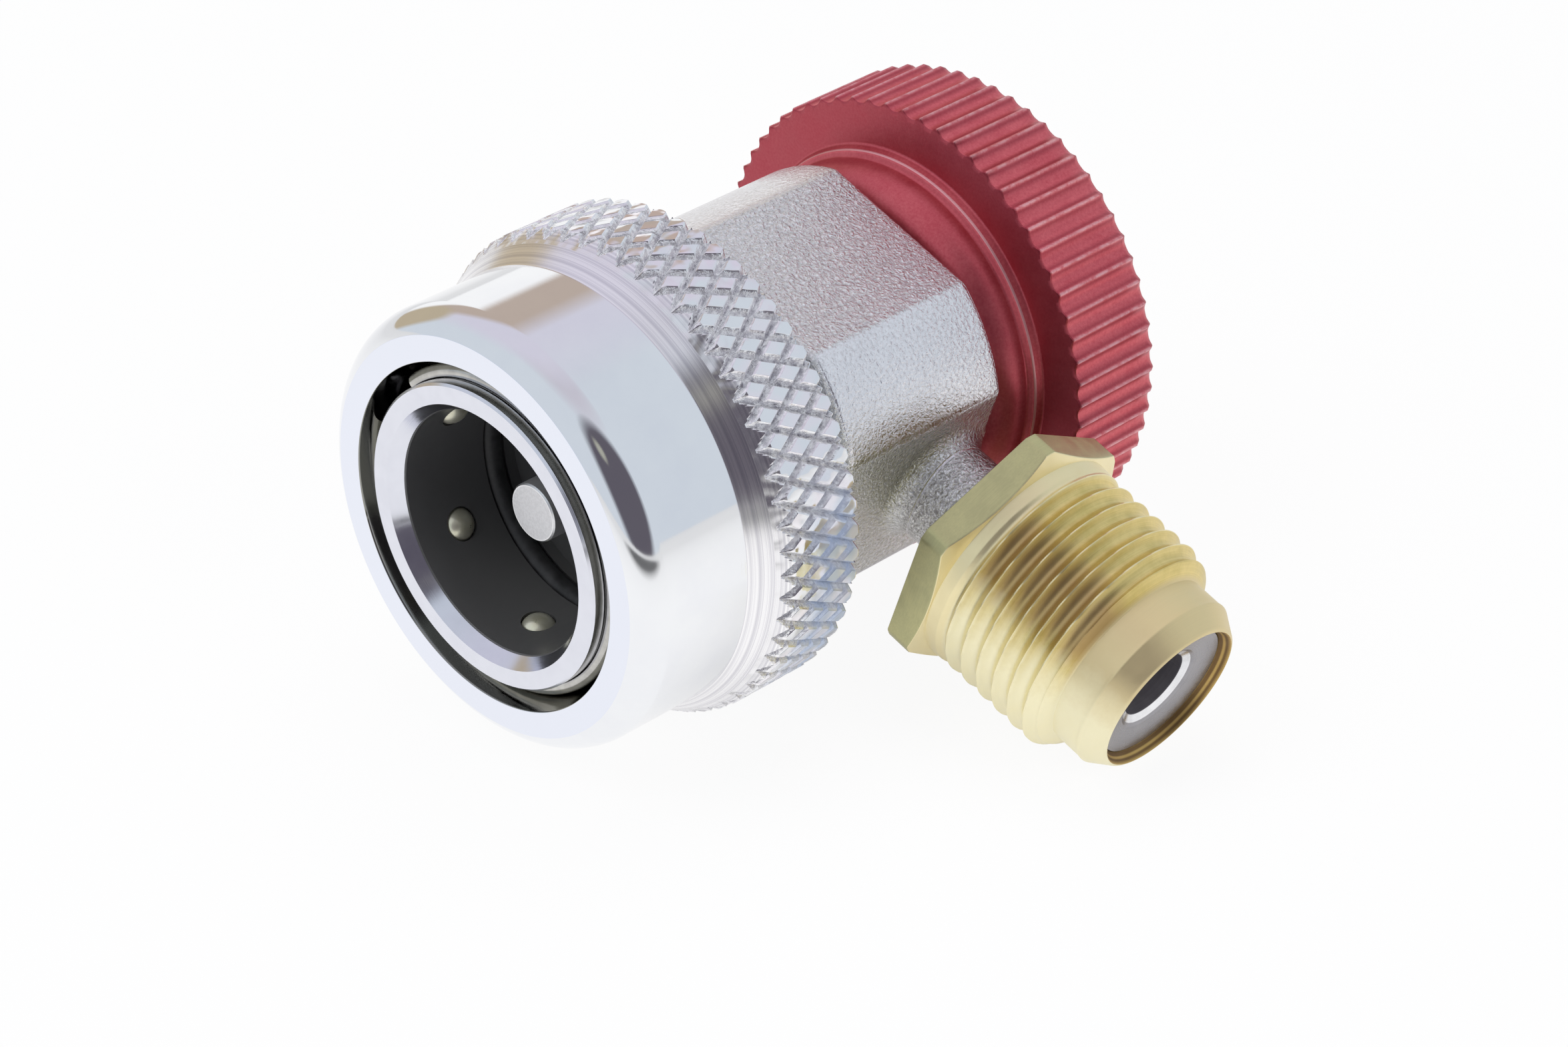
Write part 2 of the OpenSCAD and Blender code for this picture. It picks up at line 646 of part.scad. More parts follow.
module spindle() {
    neck_groove_r = spindle_neck_r - neck_groove;
    groove_half = clip_t / 2 + run_gap;
    thread_x = spindle_seal_x + small_seal_r + seal_side_gap / 2 + thread_relief + stop_gap;
    flat = drive_r - drive_flat;
    color([0.76, 0.64, 0.38])
    difference() {
        turned([[0, guide_x + edge + run_gap], [spindle_neck_r, guide_x + edge + run_gap],
            [spindle_neck_r, clip_x - groove_half],
            [neck_groove_r, clip_x - groove_half], [neck_groove_r, clip_x + groove_half],
            [spindle_neck_r, clip_x + groove_half],
            [spindle_neck_r, spindle_x], [spindle_r, spindle_x],
            [spindle_r, thread_x], [spindle_thread_r, thread_x + edge], [spindle_thread_r, web_x],
            [drive_r, web_x], [drive_r, recess_x - edge], [0, recess_x - edge]]);
        translate([web_x, flat, -drive_r]) cube([web_t + cut, drive_r, drive_d]);
        along_axis(recess_x - screw_len) cylinder(d = screw_d + 2 * thread_gap, h = screw_len + cut);
    }
}

module knob() {
    inner_hex_r = gland_flats / sqrt(3) + stop_gap + small_gap;
    flat = drive_r - drive_flat + thread_gap;
    back_edge = 0.6;
    rib_steps = 4;
    rim = [for (k = [0:rib_count - 1], i = [0:rib_steps - 1])
        let (t = i / rib_steps, r = knob_r - 4 * rib_depth * t * (1 - t), a = 360 * (k + t) / rib_count)
        [r * cos(a), r * sin(a)]];
    color([0.7, 0.2, 0.26])
    difference() {
        union() {
            intersection() {
                along_axis(rim_x) linear_extrude(height = rim_len) polygon(rim);
                turned([[0, rim_x], [knob_r + cut, rim_x], [knob_r + cut, knob_end - back_edge - cut],
                    [knob_r - back_edge, knob_end], [0, knob_end]]);
            }
            turned(concat([[0, rim_x + cut], [0, hub_x]],
                arc(hub_r - hub_round, hub_x + hub_round, hub_round, 270, 360),
                arc(hub_r + hub_cove, rim_x - hub_cove, hub_cove, 180, 90, 4),
                [[hub_r + hub_cove, rim_x + cut]]));
        }
        // room for the gland, then the web's bore with its flat, and the recesses of the back
        along_axis(hub_x - cut) cylinder(r = inner_hex_r, h = gland_hex_end + pin_travel / 4 - hub_x + cut);
        along_axis(hub_x) cylinder(r = gland_neck_r + stop_gap, h = web_x - hub_x);
        difference() {
            along_axis(hub_x) cylinder(r = drive_r + thread_gap, h = rim_len + hub_len);
            translate([web_x - cut, flat, -drive_d]) cube([web_t + 2 * cut, drive_d, 2 * drive_d]);
        }
        along_axis(recess_x) cylinder(d = screw_recess_d, h = screw_recess_depth + cut);
        along_axis(knob_end - dish_depth) cylinder(d = dish_d, h = dish_depth + cut);
    }
}

module knob_washer() {
    inner_r = screw_d / 2 + small_gap;
    outer_r = screw_head_d / 2 + 2 * edge;
    color([0.7, 0.7, 0.72])
    turned([[inner_r, recess_x], [outer_r, recess_x],
        [outer_r, recess_x + knob_washer_t], [inner_r, recess_x + knob_washer_t]]);
}

module knob_screw() {
    head_x = recess_x + knob_washer_t;
    head_r = screw_head_d / 2;
    screw_r = screw_d / 2;
    screw_x = head_x - screw_len;
    crown = 2 * edge;
    bar = 0.9;
    slot = 2.0;
    slot_depth = 1.0;
    color([0.66, 0.66, 0.68])
    difference() {
        turned(concat([[0, screw_x], [screw_r - edge, screw_x], [screw_r, screw_x + edge],
            [screw_r, head_x], [head_r, head_x]],
            arc(head_r - crown, head_x + screw_head_t - crown, crown, 0, 90, 4),
            [[0, head_x + screw_head_t]]));
        for (a = [0, 90]) rotate([a, 0, 0])
            translate([head_x + screw_head_t - slot_depth, -slot, -bar / 2])
            cube([screw_head_t, 2 * slot, bar]);
    }
}

valve_body();
nose_barrel();
nose_gasket();
socket_seal();
retaining_ring();
spring_seat();
gland_nut();
gland_seal();
spindle_seal();
side_fitting();
fitting_gasket();
outlet_insert();
insert_seal();
release_sleeve();
sleeve_spring();
ball(1);  // ball_1
ball(2);  // ball_2
ball(3);  // ball_3
ball(4);  // ball_4
ball(5);  // ball_5
ball(6);  // ball_6
plunger();
swivel_clip();
spindle();
knob();
knob_washer();
knob_screw();
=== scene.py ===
import math

import bmesh
import bpy
from mathutils import Matrix, Vector


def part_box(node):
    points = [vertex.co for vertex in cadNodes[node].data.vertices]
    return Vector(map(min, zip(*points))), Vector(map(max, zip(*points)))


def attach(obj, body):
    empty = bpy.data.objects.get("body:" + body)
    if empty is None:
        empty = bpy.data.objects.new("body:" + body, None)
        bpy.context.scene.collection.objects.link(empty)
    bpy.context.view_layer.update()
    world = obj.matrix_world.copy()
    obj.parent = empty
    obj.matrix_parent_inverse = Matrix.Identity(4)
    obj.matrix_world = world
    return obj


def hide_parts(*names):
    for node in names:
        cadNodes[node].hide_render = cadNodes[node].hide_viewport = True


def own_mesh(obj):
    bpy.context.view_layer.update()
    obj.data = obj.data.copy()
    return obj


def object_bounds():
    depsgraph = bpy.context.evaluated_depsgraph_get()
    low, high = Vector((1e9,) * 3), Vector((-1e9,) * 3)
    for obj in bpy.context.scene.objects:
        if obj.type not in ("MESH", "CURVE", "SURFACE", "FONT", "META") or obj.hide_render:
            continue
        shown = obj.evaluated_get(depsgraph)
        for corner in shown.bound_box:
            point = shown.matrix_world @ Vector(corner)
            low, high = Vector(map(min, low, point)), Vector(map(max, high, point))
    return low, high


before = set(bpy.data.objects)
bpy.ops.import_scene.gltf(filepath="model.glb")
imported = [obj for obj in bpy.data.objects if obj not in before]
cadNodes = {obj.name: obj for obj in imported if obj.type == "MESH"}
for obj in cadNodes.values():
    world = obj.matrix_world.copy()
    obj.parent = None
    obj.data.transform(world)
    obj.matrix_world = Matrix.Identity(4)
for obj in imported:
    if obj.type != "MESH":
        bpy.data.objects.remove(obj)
cadBox = [list(corner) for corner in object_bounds()]
mm = 0.001
print("frame loaded:", len(cadNodes), "nodes")

view = {
    "place": (-0.14548, -0.17179, 0.14311),
    "right": (0.7090, -0.7051, 0.0049),
    "up": (0.3739, 0.3819, 0.8452),
    "lens": 99.13,
    "sensor": 36.0,
}

cameraData = bpy.data.cameras.new("benchCamera")
cameraData.lens = view["lens"]
cameraData.sensor_width = view["sensor"]
cameraData.clip_start = 0.01
cameraData.clip_end = 10
camera = bpy.data.objects.new("benchCamera", cameraData)
bpy.context.scene.collection.objects.link(camera)
rightAxis = Vector(view["right"]).normalized()
upAxis = Vector(view["up"])
upAxis = (upAxis - rightAxis * upAxis.dot(rightAxis)).normalized()
turn = Matrix((rightAxis, upAxis, rightAxis.cross(upAxis))).transposed()
camera.matrix_world = Matrix.Translation(Vector(view["place"])) @ turn.to_4x4()
bpy.context.scene.camera = camera


# node helpers
# each socket, by its name or number, takes an output or a plain value
def setSockets(tree, node, sockets):
    for key, source in sockets.items():
        if isinstance(source, bpy.types.NodeSocket):
            tree.links.new(source, node.inputs[key])
        else:
            node.inputs[key].default_value = source


def addNode(tree, kind, sockets=None, **settings):
    node = tree.nodes.new(kind)
    for key, value in settings.items():
        setattr(node, key, value)
    setSockets(tree, node, sockets or {})
    return node


def newMaterial(name):
    material = bpy.data.materials.new(name)
    material.use_nodes = True
    tree = material.node_tree
    return material, tree, tree.nodes["Principled BSDF"]


def mathNode(tree, operation, *sources, clamp=False):
    return addNode(tree, "ShaderNodeMath", dict(enumerate(sources)), operation=operation, use_clamp=clamp).outputs[0]


def times(tree, *factors):
    product = factors[0]
    for factor in factors[1:]:
        product = mathNode(tree, "MULTIPLY", product, factor)
    return product


def plus(tree, a, b, clamp=False):
    return mathNode(tree, "ADD", a, b, clamp=clamp)


def minus(tree, a, b):
    return mathNode(tree, "SUBTRACT", a, b)


def ratio(tree, a, b):
    return mathNode(tree, "DIVIDE", a, b)


def larger(tree, a, b):
    return mathNode(tree, "MAXIMUM", a, b)


def smaller(tree, a, b):
    return mathNode(tree, "MINIMUM", a, b)


# masks: 1 where the value is past its limit, otherwise 0
def above(tree, value, limit):
    return mathNode(tree, "GREATER_THAN", value, limit)


def below(tree, value, limit):
    return mathNode(tree, "LESS_THAN", value, limit)


def between(tree, value, low, high):
    return times(tree, above(tree, value, low), below(tree, value, high))


def opposite(tree, share):
    return minus(tree, 1.0, share)


# the first value by its share and the second by the rest
def blendOf(tree, first, second, share):
    return plus(tree, times(tree, first, share), times(tree, second, 1 - share))


def remap(tree, value, low, high, toLow=0.0, toHigh=1.0):
    return addNode(tree, "ShaderNodeMapRange", {"Value": value, "From Min": low, "From Max": high,
                                                "To Min": toLow, "To Max": toHigh}, clamp=True).outputs[0]


# 1 up to low and 0 from high on
def fade(tree, value, low, high):
    return remap(tree, value, low, high, 1.0, 0.0)


def vectorNode(tree, operation, *sources):
    return addNode(tree, "ShaderNodeVectorMath", dict(enumerate(sources)), operation=operation).outputs


def dotOf(tree, first, second):
    return vectorNode(tree, "DOT_PRODUCT", first, second)["Value"]


def objectPoint(tree):
    return addNode(tree, "ShaderNodeTexCoord").outputs["Object"]


def splitPoint(tree, point):
    parts = addNode(tree, "ShaderNodeSeparateXYZ", {0: point}).outputs
    return parts[0], parts[1], parts[2]


def joinPoint(tree, x, y=0.0, z=0.0):
    return addNode(tree, "ShaderNodeCombineXYZ", {0: x, 1: y, 2: z}).outputs[0]


# distance along an axis and distance from it, so that a pattern follows a turned piece
def turnedPoint(tree, centre, along):
    point = vectorNode(tree, "SUBTRACT", objectPoint(tree), centre)[0]
    reach = dotOf(tree, point, along)
    foot = addNode(tree, "ShaderNodeVectorMath", {0: along, "Scale": reach}, operation="SCALE").outputs[0]
    return reach, vectorNode(tree, "LENGTH", vectorNode(tree, "SUBTRACT", point, foot)[0])["Value"]


def noiseField(tree, point, scale, detail=3.0, rough=0.55, distortion=0.0):
    node = addNode(tree, "ShaderNodeTexNoise",
                   {"Vector": point, "Scale": scale, "Detail": detail, "Roughness": rough, "Distortion": distortion})
    return node.outputs["Fac"]


def mixColour(tree, share, first, second):
    first, second = [colour if isinstance(colour, bpy.types.NodeSocket) else (*colour, 1.0)
                     for colour in (first, second)]
    return addNode(tree, "ShaderNodeMix", {0: share, 6: first, 7: second}, data_type="RGBA").outputs[2]


# from the first colour to the second while the field goes from low to high
def tint(tree, field, low, high, first, second):
    return mixColour(tree, remap(tree, field, low, high), first, second)


# a cloudy gloss between two values of roughness
def gloss(tree, cloud, smooth, rough):
    return remap(tree, cloud, 0.3, 0.7, smooth, rough)


# bumps laid one over the other, each a height, its distance and its strength
def bumpLayers(tree, *layers):
    normal = None
    for height, distance, strength in layers:
        sockets = {"Height": height, "Distance": distance, "Strength": strength}
        if normal is not None:
            sockets["Normal"] = normal
        normal = addNode(tree, "ShaderNodeBump", sockets).outputs[0]
    return normal


port = {"place": 29.14, "dip": 18.43455}
dip = math.radians(port["dip"])
portCentre = Vector((port["place"] * mm, 0, 0))
portAxis = Vector((0, -math.cos(dip), -math.sin(dip)))
portUp = Vector((0, -math.sin(dip), math.cos(dip)))
mainAxis = Vector((1, 0, 0))


def aboutMain(tree):
    return turnedPoint(tree, Vector((0, 0, 0)), mainAxis)


def aboutPort(tree):
    return turnedPoint(tree, portCentre, portAxis)


# a piece drawn along X is turned onto the port's axis
def setOnPort(piece):
    turned = Matrix((portAxis, mainAxis, portAxis.cross(mainAxis))).transposed().to_4x4()
    piece.data.transform(Matrix.Translation(portCentre) @ turned)


# in the dictionaries below a noise is its scale, detail and roughness, and a roughness goes from smooth to rough
plainMetals = {
    "ballSteel": {"pale": (0.88, 0.86, 0.70), "dark": (0.74, 0.72, 0.54), "roughness": (0.27, 0.33),
                  "clouds": 900, "lines": 0.0, "metallic": 0.7},
    "ringSteel": {"pale": (0.60, 0.59, 0.56), "dark": (0.46, 0.45, 0.43), "roughness": (0.17, 0.23), "clouds": 900},
    "springSteel": {"pale": (0.62, 0.62, 0.62), "dark": (0.48, 0.48, 0.49), "roughness": (0.25, 0.31), "clouds": 900},
    "zincPlate": {"pale": (0.72, 0.72, 0.73), "dark": (0.60, 0.60, 0.60), "roughness": (0.23, 0.29), "clouds": 800},
    "turnedBrass": {"pale": (0.74, 0.62, 0.38), "dark": (0.60, 0.50, 0.30), "roughness": (0.19, 0.25), "clouds": 600},
    "copperGasket": {"pale": (0.74, 0.45, 0.32), "dark": (0.58, 0.34, 0.24), "roughness": (0.29, 0.35),
                     "clouds": 700},
}


# a turned or drawn metal: lathe lines round its axis, a cloudy sheen and small specks
def turnedMetal(name):
    look = {"lines": 0.25, "metallic": 1.0, "lineNoise": (9000, 2.0, 0.7), "lineDepth": 0.004 * mm, **plainMetals[name]}
    material, tree, shader = newMaterial(name)
    fine = noiseField(tree, joinPoint(tree, *aboutMain(tree)), *look["lineNoise"])
    cloud = noiseField(tree, objectPoint(tree), look["clouds"], 4.0, 0.6)
    tone = blendOf(tree, fine, cloud, look["lines"])
    setSockets(tree, shader, {
        "Base Color": tint(tree, tone, 0.36, 0.62, look["dark"], look["pale"]),
        "Roughness": gloss(tree, cloud, *look["roughness"]),
        "Normal": bumpLayers(tree, (fine, look["lineDepth"], 0.6)),
        "Metallic": look["metallic"]})
    return material


def chromeMaterial():
    look = {
        "pale": (0.90, 0.91, 0.93), "dull": (0.87, 0.88, 0.91), "lilac": (0.93, 0.89, 0.93),
        "brushed": (1.0, 0.99, 1.0), "brushedDark": (0.74, 0.73, 0.77),
        "brushFrom": 8.45 * mm, "brushTo": 9.95 * mm, "outside": 14.0 * mm,
        "bandEnd": 16.45 * mm, "grooveRadius": 16.28 * mm, "pointRadius": 16.43 * mm,
        "conePlace": 10.2 * mm, "coneRadius": 15.93 * mm, "coneSlope": 0.6353, "coneSkin": 0.03 * mm,
        "groovePale": (0.99, 0.99, 1.0), "grooveShade": (0.66, 0.65, 0.69),
        "front": (0.83, 0.855, 0.94), "frontDepth": 0.012 * mm, "bore": (0.30, 0.30, 0.27), "boreRadius": 11.67 * mm,
        "sideReflection": (0.62, 0.70, 0.86), "sideReflectionFrom": 12.0 * mm, "sideReflectionTo": 13.6 * mm,
        "roughness": (0.04, 0.09), "brushedRough": 0.16, "bandRough": 0.05, "grooveDulling": 0.30, "sideReflectionDulling": 0.55,
        "fineNoise": (16000, 2.0, 0.75), "cloudNoise": (260, 4.0, 0.6), "brushNoise": (6500, 1.0, 0.6),
        "wearNoise": (2600, 3.0, 0.7), "cellNoise": (680, 0.0, 0.5), "nickNoise": (2200, 2.0, 0.8),
        "raggedNoise": (3000, 3.0, 0.7), "squeezeNoise": (700, 1.0, 0.4),
    }
    material, tree, shader = newMaterial("brightChrome")
    point = objectPoint(tree)
    reach, radius = aboutMain(tree)
    rings = joinPoint(tree, reach, radius)
    fine = noiseField(tree, rings, *look["fineNoise"])
    cloud = noiseField(tree, point, *look["cloudNoise"])
    plain = tint(tree, cloud, 0.35, 0.65, look["dull"], look["pale"])
    # the bevel in front of the knurl is brushed
    outer = above(tree, radius, look["outside"])
    coneHere = mathNode(tree, "MULTIPLY_ADD", minus(tree, reach, look["conePlace"]), look["coneSlope"],
                        look["coneRadius"])
    offCone = above(tree, minus(tree, coneHere, radius), look["coneSkin"])
    onward = larger(tree, below(tree, reach, look["brushTo"]), opposite(tree, offCone))
    brushed = times(tree, above(tree, reach, look["brushFrom"]), onward, outer)
    lines = noiseField(tree, rings, *look["brushNoise"])
    brush = tint(tree, lines, 0.36, 0.64, look["brushedDark"], look["brushed"])
    # the knurl's grooves are mottled darker and paler, partly uneven plating and partly painted shade in the grooves
    band = times(tree, between(tree, reach, look["brushTo"], look["bandEnd"]), outer)
    groove = times(tree, band, fade(tree, radius, look["grooveRadius"], look["pointRadius"]), offCone)
    grooveMottle = noiseField(tree, point, *look["wearNoise"])
    wearAndPaintedLight = tint(tree, grooveMottle, 0.40, 0.60, look["grooveShade"], look["groovePale"])
    cells = noiseField(tree, point, *look["cellNoise"])
    plain = mixColour(tree, times(tree, band, fade(tree, cells, 0.35, 0.55)), plain, look["lilac"])
    plain = mixColour(tree, groove, plain, wearAndPaintedLight)
    # painted reflection: the turned front is tinted bluer; painted shade: the bore behind it is darkened
    plain = mixColour(tree, below(tree, reach, look["frontDepth"]), plain, look["front"])
    plain = mixColour(tree, below(tree, radius, look["boreRadius"]), plain, look["bore"])
    # painted reflection: the points on the side towards the hose nut are tinted bluish and made duller
    sideways = ratio(tree, dotOf(tree, point, portAxis), radius)
    sideReflection = times(tree, band, remap(tree, reach, look["sideReflectionFrom"], look["sideReflectionTo"]),
                  remap(tree, sideways, 0.78, 0.92))
    plain = mixColour(tree, times(tree, sideReflection, remap(tree, cells, 0.40, 0.60, 0.4, 1.0)), plain, look["sideReflection"])
    rough = plus(tree, gloss(tree, cloud, *look["roughness"]), times(tree, brushed, look["brushedRough"]))
    rough = plus(tree, rough, times(tree, band, look["bandRough"]))
    # every point of the knurl is squeezed up a little differently, and has scratches and tiny nicks
    squeezed = times(tree, noiseField(tree, point, *look["squeezeNoise"]), band)
    ragged = times(tree, noiseField(tree, point, *look["raggedNoise"]), groove)
    nick = remap(tree, noiseField(tree, point, *look["nickNoise"]), 0.70, 0.78)
    normal = bumpLayers(tree, (fine, 0.0022 * mm, 0.5), (squeezed, 0.3 * mm, 1.0), (ragged, 0.14 * mm, 0.9),
                        (nick, 0.03 * mm, -0.6))
    duller = plus(tree, times(tree, groove, look["grooveDulling"]), times(tree, sideReflection, look["sideReflectionDulling"]),
                  clamp=True)
    setSockets(tree, shader, {"Base Color": mixColour(tree, brushed, plain, brush), "Roughness": rough,
                              "Normal": normal, "Metallic": opposite(tree, duller)})
    return material


def castNickelMaterial():
    look = {
        "pale": (1.0, 1.0, 1.0), "dull": (0.76, 0.76, 0.76), "coarse": (0.46, 0.44, 0.43), "roughness": (0.12, 0.25),
        "smooth": (0.86, 0.84, 0.88), "smoothShare": 0.6,
        "cornerFrom": 12.88 * mm, "cornerTo": 12.96 * mm, "cornerEnd": 13.1 * mm,
        "bossFrom": 11.4 * mm, "bossTo": 13.0 * mm, "bossRadius": 8.0 * mm, "bossFade": 9.5 * mm,
        "cloudNoise": (320, 5.0, 0.6), "peelNoise": (3600, 3.0, 0.65, 0.6), "gritNoise": (7200, 2.0, 0.7),
        "pitNoise": (1700, 2.0, 0.5), "peelShare": 0.55, "spread": 0.24, "coarseSpread": 0.06,
    }
    material, tree, shader = newMaterial("castNickel")
    point = objectPoint(tree)
    radius = aboutMain(tree)[1]
    # the rounded corners are machined smoother than the flats
    corner = times(tree, remap(tree, radius, look["cornerFrom"], look["cornerTo"]),
                   below(tree, radius, look["cornerEnd"]), look["smoothShare"])
    sandy = opposite(tree, corner)
    cloud = noiseField(tree, point, *look["cloudNoise"])
    peel = noiseField(tree, point, *look["peelNoise"])
    grit = noiseField(tree, point, *look["gritNoise"])
    pits = fade(tree, noiseField(tree, point, *look["pitNoise"]), 0.24, 0.34)
    grain = blendOf(tree, peel, grit, look["peelShare"])
    # the side boss is coarser than the flats
    sideReach, sideRadius = aboutPort(tree)
    coarse = times(tree, remap(tree, sideReach, look["bossFrom"], look["bossTo"]),
                   fade(tree, sideRadius, look["bossRadius"], look["bossFade"]))
    spread = minus(tree, look["spread"], times(tree, coarse, look["coarseSpread"]))
    tone = plus(tree, ratio(tree, minus(tree, grain, 0.5), spread), 0.5, clamp=True)
    base = mixColour(tree, tone, mixColour(tree, coarse, look["dull"], look["coarse"]), look["pale"])
    normal = bumpLayers(tree, (times(tree, peel, sandy), 0.17 * mm, 1.0), (times(tree, grit, sandy), 0.04 * mm, 1.0),
                        (pits, 0.06 * mm, -0.5))
    setSockets(tree, shader, {"Base Color": mixColour(tree, corner, base, look["smooth"]),
                              "Roughness": gloss(tree, cloud, *look["roughness"]), "Normal": normal,
                              "Metallic": 1.0})
    return material


def redAnodisedMaterial():
    look = {
        "bright": (0.74, 0.165, 0.190), "deep": (0.60, 0.095, 0.120), "wearAndPaintedLight": (0.90, 0.56, 0.58),
        "face": (0.30, 0.035, 0.055), "roughness": (0.35, 0.46), "metallic": 0.82,
        "faceEnd": 37.22 * mm, "faceFrom": 12.95 * mm, "faceTo": 13.2 * mm, "faceShare": 0.6,
        "hubEnd": 37.0 * mm, "hubRadius": 12.7 * mm, "hubShare": 0.25,
        "flankRadius": 16.15 * mm, "flankInner": 0.02 * mm, "flankOuter": 0.15 * mm, "flankShare": 0.55,
        "ledgeEnd": 36.75 * mm, "ledgeFrom": 12.79 * mm, "ledgeTo": 12.82 * mm, "ledgeEdge": 12.89 * mm,
        "ledgeShare": 0.6, "crestFrom": 16.22 * mm, "crestTo": 16.36 * mm, "crestShare": 0.85,
        "grainNoise": (5200, 3.0, 0.65), "cloudNoise": (420, 4.0, 0.6), "rubNoise": (1300, 3.0, 0.6),
    }
    material, tree, shader = newMaterial("redAnodised")
    point = objectPoint(tree)
    reach, radius = aboutMain(tree)
    grain = noiseField(tree, point, *look["grainNoise"])
    cloud = noiseField(tree, point, *look["cloudNoise"])
    base = tint(tree, blendOf(tree, grain, cloud, 0.5), 0.36, 0.64, look["deep"], look["bright"])
    # painted shade: the face in front of the ribs, the hub and the flanks of the flutes are darkened
    faceShade = times(tree, below(tree, reach, look["faceEnd"]), remap(tree, radius, look["faceFrom"], look["faceTo"]),
                  look["faceShare"])
    hubShade = times(tree, below(tree, radius, look["hubRadius"]), below(tree, reach, look["hubEnd"]), look["hubShare"])
    offFlank = mathNode(tree, "ABSOLUTE", minus(tree, radius, look["flankRadius"]))
    flankShade = remap(tree, offFlank, look["flankInner"], look["flankOuter"], look["flankShare"], 0.0)
    for share in (faceShade, hubShade, flankShade):
        base = mixColour(tree, share, base, look["face"])
    # painted highlight: the ledge behind the hub is paler; the crests of the ribs are paler in patches, partly rubbed
    # wear and partly painted highlight
    ledge = times(tree, below(tree, reach, look["ledgeEnd"]),
                  remap(tree, radius, look["ledgeFrom"], look["ledgeTo"]), below(tree, radius, look["ledgeEdge"]),
                  look["ledgeShare"])
    patchy = remap(tree, noiseField(tree, point, *look["rubNoise"]), 0.35, 0.6, 0.25, 1.0)
    crest = times(tree, remap(tree, radius, look["crestFrom"], look["crestTo"]), patchy, look["crestShare"])
    setSockets(tree, shader, {
        "Base Color": mixColour(tree, larger(tree, crest, ledge), base, look["wearAndPaintedLight"]),
        "Roughness": gloss(tree, cloud, *look["roughness"]),
        "Normal": bumpLayers(tree, (grain, 0.014 * mm, 0.6)),
        "Metallic": look["metallic"]})
    return material


